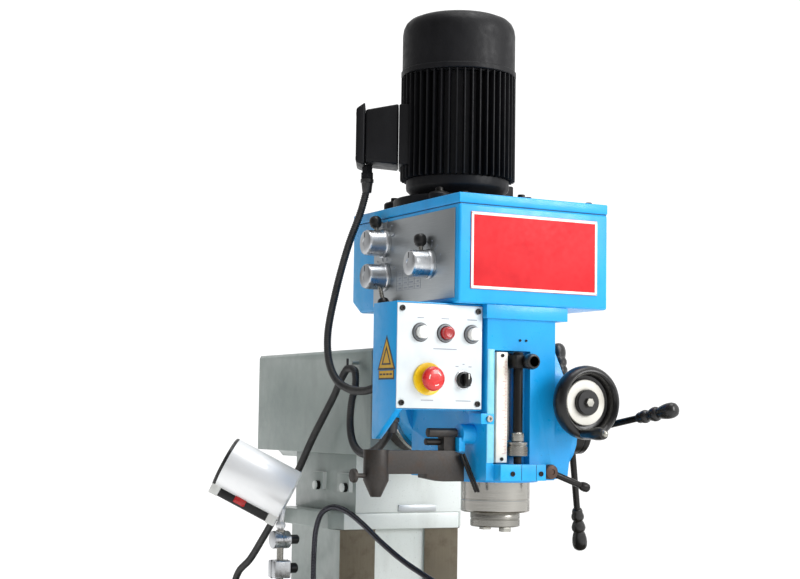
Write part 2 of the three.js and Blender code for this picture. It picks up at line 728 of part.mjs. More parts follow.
function feedLever(index) {
  const dir = feedDirection(index);
  const start = [140, FEED_Y, FEED_Z].map((v, i) => v + dir[i] * 43);
  const L = FEED_LEVER_LENGTH - 43;
  return profileAlong(start, dir, [
    [6.5, 0], [6.5, L - 84], [11, L - 82], [13.5, L - 68], [11, L - 62], [16, L - 46],
    [12.5, L - 40], [19, L - 20], [19, L - 8], [11, L],
  ], 10);
}

function fineFeedWheel() {
  const x = FINE_FEED_X;
  const z = FINE_FEED_Z;
  const disc = turnedProfile("y", x, z, [
    [23, -446], [23, -432], [48, -432], [52, -450], [58, -456],
    [64, -450], [FINE_FEED_RADIUS, -438], [62, -424], [52, -418], [24, -418],
    [20, -404], [20, -388 - GAP],
  ], 24);
  const bolt = bar("y", x, z, 9, -452, -445, 12);
  return join(disc, bolt);
}

function wheelDial() {
  return ring("y", FINE_FEED_X, FINE_FEED_Z, 23 + GAP, 40, -437, -432 - GAP, 20);
}

function crankHandle() {
  return turnedProfile("y", FINE_FEED_X - 20, FINE_FEED_Z - 54, [
    [5, -528], [9, -524], [11, -500], [9, -470], [7, -457 - GAP],
  ], 12);
}

function quillLock() {
  const hub = turnedProfile("y", LOCK_X, LOCK_Z, [
    [11, -404], [13, -401], [13, HEAD_FRONT_Y - GAP], [8, HEAD_FRONT_Y - GAP], [8, -352],
  ], 10);
  const lever = strut([LOCK_X + 4, -397, LOCK_Z - 2], [LOCK_X + 73, -397, LOCK_Z - 27], 6, 10);
  const knob = profileAlong([LOCK_X + 63, -397, LOCK_Z - 23.5], [78, 0, -26], [
    [6, 0], [8, 3], [8, 16], [5, 20],
  ], 12);
  return join(hub, lever, knob);
}

function bracketArm() {
  const beam = block(-262, -150, -346, -314, 1181, 1221);
  const end = slab("y", [
    [1174, -172], [1168, -140], [1168, -98], [1214, -98], [1221, -120], [1221, -172],
  ], -346, -314);
  const tower = turnedProfile("z", -262, -330, [
    [9, 1142], [22, 1170], [22, 1222],
  ], 18);
  const screw = turnedProfile("x", -330, 1178, [
    [11, -308], [12, -306], [12, -301], [4, -300], [4, -280],
  ], 12);
  const post = block(-136, -114, -341, -319, 1220, 1258);
  const clampBar = bar("x", -340, 1252, 8, -168, -112 - GAP, 12);
  const stud = bar("x", -325, 1236, 6, -164, -130, 10);
  return join(beam, end, tower, screw, post, clampBar, stud);
}

// ---- Cables, lamp and coolant hose -------------------------------------

const CONDUIT_RADIUS = 7.6;

function motorConduit() {
  const x = -172 * Math.cos(TERMINAL_TURN);
  const y = MOTOR_Y + 172 * Math.sin(TERMINAL_TURN);
  return tube([
    [x, y, 1729.6], [x, y, 1715], [-160, -54, 1672], [-184, -48, 1600],
    [-207, -44, 1510], [-222, -45, 1430], [-226, -62, 1378], [-226, -95, 1345],
    [-222, -140, 1328], [-216, -190, 1324], [-210, -240, 1333], [-207, -276, 1342],
    [-207, CONTROL_REAR_Y + 0.6, 1342],
  ], CONDUIT_RADIUS, 42, 8);
}

function headConduit() {
  return tube([
    [-222, -310, 1276.6], [-222, -310, 1268], [-215, -273, 1240], [-200, -202, 1218],
    [-180, -110, 1211], [-163, -38, 1232], [-151, -2, 1268], [-146, 2, 1308],
    [-140, 0, 1338], [-136, 10, 1364], [-135, 28, 1371], [-135, 37.6, 1371],
  ], CONDUIT_RADIUS, 36, 8);
}

function columnConduit() {
  return tube([
    [-135, 38.8, 1371], [-135, 47, 1371], [-138, 68, 1350], [-141, 90, 1320],
    [-146, 120, 1284], [-150, 167, 1235], [-155, 226, 1166], [-160, 276, 1114],
    [-162, 328, 1062], [-160, 396, 1012], [-156, 462, 970], [-151, 534, 938],
    [-148, 562, 914], [-148, 568, 896], [-148, 568, 880.6],
  ], CONDUIT_RADIUS, 40, 8);
}

// A plate on the side of the column that carries the lamp and the coolant valve.
function sideBracket() {
  const plate = block(-124, -112 - GAP, 102, 180, 884, 946);
  const lampRod = strut([-120, 130, 915], [-240, 105, 915], 9, 12);
  const socket = bar("z", -244, 105, 15, 900, 929.5, 14);
  const valveRod = strut([-120, 112, 905], [-172, 97, 905], 8, 10);
  const valve = bar("z", -176, 96, 12, 890, 928.5, 12);
  const tap = bar("x", 96, 905, 5, -206, -180, 12);
  return join(plate, lampRod, socket, valveRod, valve, tap);
}

function lampArm() {
  const y = 105;
  const lower = bar("z", -244, y, 7, 929.5 + GAP, 975, 12);
  const clamp = block(-262, -227, y - 16, y + 16, 966, 1000);
  const knob = bar("x", y, 984, 10, -226, -208, 10);
  const neck = bar("x", y, 984, 4, -228, -225, 12);
  const stem = bar("z", -244, y, 6.5, 999, 1028, 12);
  const hub = bar("x", y, 1039, 17, -262, -226, 16);
  const tightener = bar("x", y, 1039, 9, -227, -206, 10);
  return join(lower, clamp, knob, neck, stem, hub, tightener);
}

// The tubular lamp is drawn around Z and then laid on its slanting axis.
function lampHead() {
  const half = 72;
  const shade = turnedProfile("z", 0, 0, [
    [50, -half], [52, -half + 2], [52, half - 2], [50, half],
  ], 20);
  const tray = block(-26, 26, -62, -40, -half, half);
  const lamp = join(shade, tray);
  const along = new THREE.Vector3(0.787, -0.418, -0.454).normalize();
  const up = new THREE.Vector3(0.401, -0.213, 0.891);
  up.addScaledVector(along, -up.dot(along)).normalize();
  const side = new THREE.Vector3().crossVectors(up, along);
  lamp.applyMatrix4(new THREE.Matrix4().makeBasis(side, up, along));
  lamp.translate(-286, 127, 1154);
  const lug = strut([-241, 103, 1096], [-244, 105, 1070], 6, 10);
  const ball = new THREE.SphereGeometry(9.5, 16, 12).translate(-244, 105, 1066.5);
  return join(lamp, lug, ball);
}

function coolantHose() {
  return tube([
    [-176, 96, 929], [-177, 95, 960], [-178, 92, 1010], [-178, 84, 1060],
    [-174, 66, 1092], [-164, 40, 1104], [-152, 6, 1098], [-140, -36, 1078],
    [-122, -86, 1044], [-100, -136, 1012], [-74, -186, 985], [-54, -222, 966],
    [-44, -244, 950],
  ], HOSE_RADIUS, 32, 8);
}

// ---- Assembly -----------------------------------------------------------

const machine = new THREE.Group();

machine.add(piece("base", base(), GREY_PAINT));
machine.add(piece("column", column(), GREY_PAINT, [0, COLUMN_FRONT_Y, BASE_HEIGHT]));
machine.add(piece("ram_seat", ramSeat(), WHITE_PAINT, [0, COLUMN_FRONT_Y, 1090]));
machine.add(piece("cabinet", electricalCabinet(), GREY_PAINT, [0, COLUMN_REAR_Y, 470]));
machine.add(piece("elevating_screw", elevatingScrew(), STEEL, [0, -190, 0]));
machine.add(piece("knee", knee(), GREY_PAINT, [0, COLUMN_FRONT_Y, KNEE_TOP_Z]));
machine.add(piece("knee_crank", kneeCrank(), DARK_STEEL, [-75, -400, 490]));
machine.add(piece("saddle", saddle(), GREY_PAINT, [0, TABLE_Y, KNEE_TOP_Z]));
machine.add(piece("saddle_handwheel", saddleHandwheel(), BLACK, [0, -400, 668]));
machine.add(piece("table", table(), CAST, [0, TABLE_Y, TABLE_TOP_Z]));
machine.add(piece("table_screw", tableScrew(), STEEL, [0, TABLE_Y, 852]));
machine.add(piece("table_handwheel_left", tableHandwheel(-1), BLACK, [-540.5, TABLE_Y, 852]));
machine.add(piece("table_handwheel_right", tableHandwheel(1), BLACK, [540.5, TABLE_Y, 852]));
machine.add(piece("ram", ram(), GREY_PAINT, [0, RAM_FRONT_Y, RAM_SEAT_Z]));
machine.add(piece("swivel_flange", swivelFlange(), DARK_STEEL, [0, RAM_FRONT_Y, SWIVEL_Z]));

const head = new THREE.Group();
machine.add(head);
head.add(piece("degree_ring", degreeRing(), BRIGHT, [0, RING_FRONT_Y, SWIVEL_Z]));
head.add(piece("head_body", headBody(), BLUE, [0, SPINDLE_Y, HEAD_BOTTOM_Z]));
head.add(piece("gearbox", gearbox(), BLUE, [0, GEARBOX_FRONT_Y, GEARBOX_BOTTOM_Z]));
head.add(piece("gearbox_lid", gearboxLid(), BLUE, [0, GEARBOX_FRONT_Y, GEARBOX_TOP_Z]));
head.add(piece("badge_plate", badgePlate(), RED, [0, GEARBOX_FRONT_Y, 1567]));
head.add(piece("selector_plate", selectorPlate(), ALUMINIUM, [GEARBOX_LEFT_X, -236, 1562]));
const knobs = [[-126, 1600, 0.25, 20], [-128, 1537, 3.6, 36], [-299, 1548, 0.2, 22]];
knobs.forEach(([y, z, angle, reach], i) => {
  const knob = speedKnob(y, z, angle, reach);
  head.add(piece(`speed_knob_${i + 1}`, knob, ALUMINIUM, [GEARBOX_LEFT_X, y, z]));
});
head.add(piece("motor_flange", motorFlange(), MOTOR_BLACK, [0, MOTOR_Y, GEARBOX_TOP_Z]));
head.add(piece("motor_body", motorBody(), MOTOR_BLACK, [0, MOTOR_Y, MOTOR_BASE_Z]));
head.add(piece("fan_cover", fanCover(), MOTOR_BLACK, [0, MOTOR_Y, MOTOR_COVER_Z]));
head.add(piece("terminal_box", terminalBox(), MOTOR_BLACK, [-112, MOTOR_Y, 1809]));
head.add(piece("control_box", controlBox(), BLUE, [-170, CONTROL_FRONT_Y, 1380]));
head.add(piece("control_panel", controlPanel(), PANEL_WHITE, [-170, CONTROL_FRONT_Y, 1380]));
head.add(piece("on_button", pushButton(BUTTON_X[0]), WHITE_PLASTIC, [BUTTON_X[0], -384, BUTTON_Z]));
head.add(piece("stop_button", pushButton(BUTTON_X[1]), RED, [BUTTON_X[1], -384, BUTTON_Z]));
head.add(piece("start_button", pushButton(BUTTON_X[2]), WHITE_PLASTIC, [BUTTON_X[2], -384, BUTTON_Z]));
head.add(piece("stop_collar", stopCollar(), YELLOW, [STOP_X, -384, STOP_Z]));
head.add(piece("emergency_stop", emergencyStop(), RED, [STOP_X, -384, STOP_Z]));
head.add(piece("selector_switch", selectorSwitch(), BLACK, [-123, -384, 1343]));
head.add(piece("quill", quill(), BRIGHT, [0, SPINDLE_Y, QUILL_BOTTOM_Z]));
head.add(piece("spindle", spindle(), STEEL, [0, SPINDLE_Y, NOSE_BOTTOM_Z]));
head.add(piece("depth_scale", depthScale(), WHITE_PLASTIC, [-51, HEAD_FRONT_Y, 1298]));
head.add(piece("depth_stop_rod", depthStopRod(), DARK_STEEL, [-18, -392, 1200]));
head.add(piece("stop_nut", stopNut(), BRIGHT, [-18, -392, 1225]));
head.add(piece("quill_stop_knob", quillStopKnob(), BLACK, [-18, -392, 1376]));
head.add(piece("feed_hub", feedHub(), DARK_STEEL, [112, FEED_Y, FEED_Z]));
for (let i = 0; i < 3; i += 1) {
  head.add(piece(`feed_lever_${i + 1}`, feedLever(i), BLACK, [140, FEED_Y, FEED_Z]));
}
head.add(piece("fine_feed_wheel", fineFeedWheel(), BLACK, [FINE_FEED_X, -388, FINE_FEED_Z]));
head.add(piece("wheel_dial", wheelDial(), WHITE_PLASTIC, [FINE_FEED_X, -432, FINE_FEED_Z]));
head.add(piece("crank_handle", crankHandle(), BLACK,
  [FINE_FEED_X - 20, -456, FINE_FEED_Z - 54]));
head.add(piece("quill_lock", quillLock(), DARK_STEEL, [LOCK_X, -390, 1186]));
head.add(piece("bracket_arm", bracketArm(), CAST, [-112, -330, 1250]));
head.add(piece("motor_conduit", motorConduit(), BLACK, [-176, MOTOR_Y, 1727]));
machine.add(piece("head_conduit", headConduit(), BLACK, [-205, -312, 1225]));
machine.add(piece("column_conduit", columnConduit(), BLACK, [-135, 38, 1372]));
machine.add(piece("side_bracket", sideBracket(), GREY_PAINT, [-112, 130, 915]));
machine.add(piece("lamp_arm", lampArm(), ALUMINIUM, [-244, 105, 930]));
machine.add(piece("lamp_head", lampHead(), WHITE_PAINT, [-244, 105, 1066.5]));
machine.add(piece("coolant_hose", coolantHose(), DARK_STEEL, [-176, 96, 929]));

export default machine;
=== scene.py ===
# %% [markdown]
# # A ram-type knee milling machine
# A vertical mill stands on a cast base. Its column carries a knee that rises and falls, a saddle and a
# slotted table that move crosswise and lengthwise, and a ram on top that holds the tilting head. The head
# carries the motor, the gearbox, the electrical control box and the quill with the spindle.
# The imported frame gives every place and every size. This lesson dresses it, piece by piece.

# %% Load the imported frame
import math
import bpy
from mathutils import Matrix, Vector


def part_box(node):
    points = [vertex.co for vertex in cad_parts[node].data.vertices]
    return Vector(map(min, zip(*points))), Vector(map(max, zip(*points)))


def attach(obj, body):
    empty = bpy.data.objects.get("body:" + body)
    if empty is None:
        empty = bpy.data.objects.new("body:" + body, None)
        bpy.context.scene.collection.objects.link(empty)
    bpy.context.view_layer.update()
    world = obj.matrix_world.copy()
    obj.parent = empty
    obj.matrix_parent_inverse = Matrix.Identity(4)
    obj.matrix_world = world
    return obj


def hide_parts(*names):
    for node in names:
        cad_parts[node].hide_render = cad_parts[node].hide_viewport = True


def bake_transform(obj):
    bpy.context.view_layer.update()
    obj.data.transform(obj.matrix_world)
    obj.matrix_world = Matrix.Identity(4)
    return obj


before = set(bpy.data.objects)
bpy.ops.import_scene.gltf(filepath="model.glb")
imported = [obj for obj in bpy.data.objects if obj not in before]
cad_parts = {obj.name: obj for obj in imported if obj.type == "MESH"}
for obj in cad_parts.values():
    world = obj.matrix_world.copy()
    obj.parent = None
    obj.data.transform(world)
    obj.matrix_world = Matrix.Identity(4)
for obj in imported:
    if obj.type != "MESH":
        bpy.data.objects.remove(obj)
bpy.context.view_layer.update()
MM = 0.001

# %% [markdown]
# ## Camera first
# The camera stands in front of the machine and well to its left, at about chest height, and looks slightly
# up at the head. A long lens keeps the upright edges nearly parallel, as a distant view does. It is placed
# first, because the cords are judged against what it sees.

# %% Place the camera
CAMERA_PLACE = Vector((-1.529, -2.794, 1.271))
CAMERA_TURN = 0.488
CAMERA_RAISE = 0.081
CAMERA_ROLL = 0.015
CAMERA_LENS = 72.9


def camera_matrix(place, turn, raise_by, roll):
    """The world matrix of a camera that faces +Y, turned right, raised and rolled."""
    ahead = Vector((
        math.sin(turn) * math.cos(raise_by),
        math.cos(turn) * math.cos(raise_by),
        math.sin(raise_by),
    ))
    right = Vector((math.cos(turn), -math.sin(turn), 0))
    up = right.cross(ahead)
    right_rolled = math.cos(roll) * right + math.sin(roll) * up
    up_rolled = math.cos(roll) * up - math.sin(roll) * right
    basis = Matrix((right_rolled, up_rolled, -ahead)).transposed().to_4x4()
    return Matrix.Translation(place) @ basis


bpy.ops.object.camera_add()
camera = bpy.context.object
camera.name = "camera"
camera.data.lens = CAMERA_LENS
camera.data.sensor_width = 36
camera.matrix_world = camera_matrix(CAMERA_PLACE, CAMERA_TURN, CAMERA_RAISE, CAMERA_ROLL)
bpy.context.scene.camera = camera
print("camera lens", camera.data.lens)

# %% [markdown]
# ## Working by hand, in code
# Most pieces here are turned, sawn or cast. Each kind of shape has one short helper that does what a person
# does in the viewport: add a primitive, go into edit mode, extrude and scale it, leave edit mode, and apply
# a modifier. A turned piece starts as a circle that is extruded along its profile. A block is a cube that is
# stretched to two corners, with its edges rounded by a bevel. A casting is several blocks and bars that are
# grown together by a voxel remesh, because that leaves the soft fillets of a sand mould.

# %% Selection and naming
def pick(*pieces):
    """Selects these objects alone, and makes the last one active."""
    bpy.ops.object.select_all(action="DESELECT")
    for piece in pieces:
        piece.select_set(True)
    if pieces:
        bpy.context.view_layer.objects.active = pieces[-1]


def settle(piece):
    """Writes a piece's place and turn into its mesh."""
    pick(piece)
    bpy.ops.object.transform_apply(location=True, rotation=True, scale=True)
    return piece


def apply_modifier(piece, kind, **settings):
    """Adds one modifier, sets it and applies it."""
    pick(piece)
    modifier = piece.modifiers.new(kind.lower(), kind)
    for key, value in settings.items():
        setattr(modifier, key, value)
    bpy.ops.object.modifier_apply(modifier=modifier.name)
    return piece


def round_edges(piece, width, steps=2, angle=35):
    """Rounds every edge sharper than the angle."""
    return apply_modifier(
        piece, "BEVEL", width=width, segments=steps, limit_method="ANGLE",
        angle_limit=math.radians(angle), harden_normals=False,
    )


def joined(*pieces):
    """Joins pieces into the last one."""
    pick(*pieces)
    bpy.ops.object.join()
    return bpy.context.object


print("selection helpers ready")


# %% Blocks
def block(low, high, rounding=0.0, steps=2):
    """A cube stretched between two corners, with rounded edges."""
    low, high = Vector(low), Vector(high)
    pick()
    bpy.ops.mesh.primitive_cube_add(size=1, location=(low + high) / 2)
    piece = bpy.context.object
    piece.scale = high - low
    settle(piece)
    if rounding:
        round_edges(piece, rounding, steps)
    return piece


print("block helper ready")

# %% Turned pieces
AXIS_TURN = {
    "x": Matrix(((0, 0, 1, 0), (1, 0, 0, 0), (0, 1, 0, 0), (0, 0, 0, 1))),
    "y": Matrix(((0, 1, 0, 0), (0, 0, 1, 0), (1, 0, 0, 0), (0, 0, 0, 1))),
    "z": Matrix.Identity(4),
}


def turned(profile, axis="z", at=(0, 0, 0), sides=48):
    """A circle extruded along [radius, height] pairs. Its axis runs through the point at."""
    pick()
    first_radius, first_height = profile[0]
    bpy.ops.mesh.primitive_circle_add(
        vertices=sides, radius=first_radius, fill_type="NGON", location=(0, 0, first_height)
    )
    piece = bpy.context.object
    settle(piece)
    bpy.ops.object.mode_set(mode="EDIT")
    bpy.ops.mesh.select_all(action="SELECT")
    radius, height = first_radius, first_height
    for next_radius, next_height in profile[1:]:
        bpy.ops.mesh.extrude_region_move(
            TRANSFORM_OT_translate={"value": (0, 0, next_height - height)}
        )
        size = next_radius / radius
        bpy.ops.transform.resize(value=(size, size, 1))
        radius, height = next_radius, next_height
    bpy.ops.mesh.select_all(action="SELECT")
    bpy.ops.mesh.normals_make_consistent(inside=False)
    bpy.ops.object.mode_set(mode="OBJECT")
    piece.matrix_world = Matrix.Translation(Vector(at)) @ AXIS_TURN[axis]
    return settle(piece)


def bar(radius, start, end, axis="z", at=(0, 0, 0), rounding=0.0, sides=40):
    """A round bar between two heights on an axis, with rounded ends."""
    if not rounding:
        return turned([(radius, start), (radius, end)], axis, at, sides)
    profile = [
        (radius - rounding, start), (radius - rounding * 0.3, start + rounding * 0.3),
        (radius, start + rounding), (radius, end - rounding),
        (radius - rounding * 0.3, end - rounding * 0.3), (radius - rounding, end),
    ]
    return turned(profile, axis, at, sides)


def aimed(piece, start, direction):
    """Turns a piece made along Z so that it runs from start along a direction."""
    turn = Vector((0, 0, 1)).rotation_difference(Vector(direction).normalized())
    piece.matrix_world = Matrix.Translation(Vector(start)) @ turn.to_matrix().to_4x4()
    return settle(piece)


def strut(radius, start, end, rounding=0.0, sides=24):
    """A round bar between two points."""
    start, end = Vector(start), Vector(end)
    piece = bar(radius, 0, (end - start).length, rounding=rounding, sides=sides)
    return aimed(piece, start, end - start)


print("turning helpers ready")


# %% Cuts and outlines
def cut_away(piece, *tools):
    """Cuts tools out of a piece and removes the tools."""
    for tool in tools:
        apply_modifier(piece, "BOOLEAN", operation="DIFFERENCE", object=tool, solver="EXACT")
        bpy.data.objects.remove(tool)
    return piece


def sawn(outline, start, end, axis="z", rounding=0.0, steps=2):
    """A flat outline pushed along an axis: (x, y) along Z, (y, z) along X, (z, x) along Y."""
    pick()
    bpy.ops.mesh.primitive_circle_add(vertices=len(outline), radius=1, fill_type="NGON")
    piece = bpy.context.object
    for vertex, (u, v) in zip(piece.data.vertices, outline):
        vertex.co = (u, v, start)
    bpy.ops.object.mode_set(mode="EDIT")
    bpy.ops.mesh.select_all(action="SELECT")
    bpy.ops.mesh.extrude_region_move(TRANSFORM_OT_translate={"value": (0, 0, end - start)})
    bpy.ops.mesh.select_all(action="SELECT")
    bpy.ops.mesh.normals_make_consistent(inside=False)
    bpy.ops.object.mode_set(mode="OBJECT")
    piece.matrix_world = AXIS_TURN[axis]
    settle(piece)
    if rounding:
        round_edges(piece, rounding, steps)
    return piece


print("cutting helpers ready")


# %% Finishing a piece
PIECES = {}


def finish_piece(piece, name, body, material, stands_for=(), smooth=32):
    """Names a finished piece, smooths it, gives it its finish and lets it ride on its body."""
    settle(piece)
    pick(piece)
    bpy.ops.object.shade_smooth_by_angle(angle=math.radians(smooth))
    piece.name = name
    piece.data.name = name
    piece.data.materials.clear()
    piece.data.materials.append(material)
    if body:
        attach(piece, body)
    if stands_for:
        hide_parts(*stands_for)
    PIECES[name] = piece
    return piece


def duplicate(piece, move=(0, 0, 0)):
    """A copy of a piece with a mesh of its own, moved along."""
    pick(piece)
    bpy.ops.object.duplicate(linked=False)
    copy = bpy.context.object
    copy.location = Vector(move)
    return settle(copy)


def socket_screw(at, axis="z", radius=5 * MM, height=5 * MM, sides=20):
    """A cap screw head with a hexagon socket, standing on a face."""
    head = turned([
        (radius, 0), (radius, height * 0.85), (radius * 0.9, height), (radius * 0.55, height),
    ], sides=sides)
    socket = bar(radius * 0.5, height * 0.4, height * 1.4, sides=6)
    cut_away(head, socket)
    turns = {
        "z": (0, 0, 1), "-z": (0, 0, -1), "x": (1, 0, 0), "-x": (-1, 0, 0),
        "y": (0, 1, 0), "-y": (0, -1, 0),
    }
    return aimed(head, at, turns[axis])


print("finishing helpers ready")

# %% [markdown]
# ## Cords and the coolant hose
# Three corrugated conduits carry the wires: from the motor's terminal box down to the control box, from the
# control box round to the ram, and from the ram down to the cabinet behind the column. Each leaves a gland
# straight, sags under its own weight and enters the next housing, so its length is the length of its route.
# A flexible metal hose rises from the coolant valve, arches over and ends in a nozzle above the table. The
# routes are the ones of the solids that stand for them. A ribbed tube is a ring of points swept along the
# route, with the ring's size going up and down for each rib: that keeps the ribs square to the line.

# %% Routes
MOTOR_ROUTE = [
    (-151.8, -59.1, 1729.6), (-151.8, -59.1, 1715), (-160, -54, 1672), (-184, -48, 1600),
    (-207, -44, 1510), (-222, -45, 1430), (-226, -62, 1378), (-226, -95, 1345),
    (-222, -140, 1328), (-216, -190, 1324), (-210, -240, 1333), (-207, -276, 1342),
    (-207, -293.4, 1342),
]
HEAD_ROUTE = [
    (-222, -310, 1276.6), (-222, -310, 1268), (-215, -273, 1240), (-200, -202, 1218),
    (-180, -110, 1211), (-163, -38, 1232), (-151, -2, 1268), (-146, 2, 1308),
    (-140, 0, 1338), (-136, 10, 1364), (-135, 28, 1371), (-135, 37.6, 1371),
]
COLUMN_ROUTE = [
    (-135, 38.8, 1371), (-135, 47, 1371), (-138, 68, 1350), (-141, 90, 1320),
    (-146, 120, 1284), (-150, 167, 1235), (-155, 226, 1166), (-160, 276, 1114),
    (-162, 328, 1062), (-160, 396, 1012), (-156, 462, 970), (-151, 534, 938),
    (-148, 562, 914), (-148, 568, 896), (-148, 568, 880.6),
]
COOLANT_ROUTE = [
    (-176, 96, 929), (-177, 95, 960), (-178, 92, 1010), (-178, 84, 1060),
    (-174, 66, 1092), (-164, 40, 1104), (-152, 6, 1098), (-140, -36, 1078),
    (-122, -86, 1044), (-100, -136, 1012), (-74, -186, 985), (-54, -222, 966),
    (-44, -244, 950),
]
CONDUIT_RADIUS = 7.6 * MM
HOSE_RADIUS = 5.6 * MM
print("routes", len(MOTOR_ROUTE), len(HEAD_ROUTE), len(COLUMN_ROUTE), len(COOLANT_ROUTE))


# %% A smooth line through route points
def smooth_line(route, count):
    """Centripetal curve through points in millimetres, as count evenly spaced points in metres."""
    points = [Vector(p) * MM for p in route]
    points = [2 * points[0] - points[1], *points, 2 * points[-1] - points[-2]]
    fine = []
    for before, start, end, after in zip(points, points[1:], points[2:], points[3:]):
        knots = [0.0]
        for first, second in ((before, start), (start, end), (end, after)):
            knots.append(knots[-1] + max((second - first).length, 1e-6) ** 0.5)
        for step in range(24):
            t = knots[1] + (knots[2] - knots[1]) * step / 24
            a = [
                p * ((knots[i + 1] - t) / (knots[i + 1] - knots[i]))
                + q * ((t - knots[i]) / (knots[i + 1] - knots[i]))
                for i, (p, q) in enumerate(((before, start), (start, end), (end, after)))
            ]
            b = [
                a[i] * ((knots[i + 2] - t) / (knots[i + 2] - knots[i]))
                + a[i + 1] * ((t - knots[i]) / (knots[i + 2] - knots[i]))
                for i in (0, 1)
            ]
            fine.append(
                b[0] * ((knots[2] - t) / (knots[2] - knots[1]))
                + b[1] * ((t - knots[1]) / (knots[2] - knots[1]))
            )
    fine.append(points[-2])
    lengths = [0.0]
    for first, second in zip(fine, fine[1:]):
        lengths.append(lengths[-1] + (second - first).length)
    even, place = [], 0
    for index in range(count):
        wanted = lengths[-1] * index / (count - 1)
        while place < len(fine) - 2 and lengths[place + 1] < wanted:
            place += 1
        span = max(lengths[place + 1] - lengths[place], 1e-9)
        even.append(fine[place].lerp(fine[place + 1], min(1, (wanted - lengths[place]) / span)))
    return even, lengths[-1]


print("motor conduit length", round(smooth_line(MOTOR_ROUTE, 30)[1], 3))


# %% Ribbed tubes
def ribbed_tube(name, route, radius, rib_pitch, rib_depth, sides=14):
    """A closed tube along a route whose wall goes in and out once every rib."""
    length = smooth_line(route, 2)[1]
    ribs = round(length / rib_pitch)
    line, length = smooth_line(route, ribs * 4 + 1)
    verts, faces = [], []
    across = Vector((1, 0, 0))
    for index, point in enumerate(line):
        ahead = (line[min(index + 1, len(line) - 1)] - line[max(index - 1, 0)]).normalized()
        across = (across - across.dot(ahead) * ahead).normalized()
        other = ahead.cross(across)
        size = radius - rib_depth * (0, 0.5, 1, 0.5)[index % 4]
        for side in range(sides):
            angle = 2 * math.pi * side / sides
            verts.append(point + size * (math.cos(angle) * across + math.sin(angle) * other))
    for ring in range(len(line) - 1):
        for side in range(sides):
            a, b = ring * sides + side, ring * sides + (side + 1) % sides
            faces.append((a, b, b + sides, a + sides))
    faces.append(tuple(reversed(range(sides))))
    last = (len(line) - 1) * sides
    faces.append(tuple(range(last, last + sides)))
    mesh = bpy.data.meshes.new(name)
    mesh.from_pydata(verts, [], faces)
    piece = bpy.data.objects.new(name, mesh)
    bpy.context.scene.collection.objects.link(piece)
    return piece, length


motor_conduit, motor_length = ribbed_tube("motor_cable", MOTOR_ROUTE, CONDUIT_RADIUS, 0.0042, 0.0012)
head_conduit, head_length = ribbed_tube("head_cable", HEAD_ROUTE, CONDUIT_RADIUS, 0.0042, 0.0012)
column_conduit, column_length = ribbed_tube(
    "column_cable", COLUMN_ROUTE, CONDUIT_RADIUS, 0.0042, 0.0012
)
coolant_hose, coolant_length = ribbed_tube("coolant_pipe", COOLANT_ROUTE, HOSE_RADIUS, 0.0030, 0.0006)
CORDS = {
    "motor": (motor_conduit, MOTOR_ROUTE, motor_length, CONDUIT_RADIUS, "object", "medium"),
    "head": (head_conduit, HEAD_ROUTE, head_length, CONDUIT_RADIUS, "object", "medium"),
    "column": (column_conduit, COLUMN_ROUTE, column_length, CONDUIT_RADIUS, "object", "medium"),
    "coolant": (coolant_hose, COOLANT_ROUTE, coolant_length, HOSE_RADIUS, "fitting", "stiff"),
}
nozzle = turned([(r * MM, h * MM) for r, h in (
    (6.4, -8), (7, -7), (7, 6), (5.6, 8), (4.6, 22), (4.2, 24), (2.6, 24), (2.6, 18),
)], sides=28)
nozzle_end = Vector(COOLANT_ROUTE[-1]) * MM
aimed(nozzle, nozzle_end, nozzle_end - Vector(COOLANT_ROUTE[-2]) * MM)
for cord_piece, route, length, radius, far_end, stiffness in CORDS.values():
    line = smooth_line(route, 40)[0]
    print(cord_piece.name, round(length, 3), "m long")

# %% [markdown]
# ## Finishes
# Every finish is built from nodes that read the piece's own coordinates, so it stays with the piece when it
# moves. Machine enamel is sprayed thick over a cast surface: it has a fine orange peel, broad uneven shading,
# dull smears where hands and coolant go, and edges that are worn thin. Blender's Bevel node feels for the
# edges, so paint can wear off exactly there. Metal gets long fine scratches or turning rings in its bump and
# its roughness. Plastics get a slight grain. One helper builds them all from a few numbers.

# %% Node helpers
def srgb(red, green, blue):
    """A colour on the 0 to 255 screen scale as Blender's linear colour."""
    values = []
    for value in (red, green, blue):
        share = value / 255
        values.append(share / 12.92 if share <= 0.04045 else ((share + 0.055) / 1.055) ** 2.4)
    return (*values, 1.0)


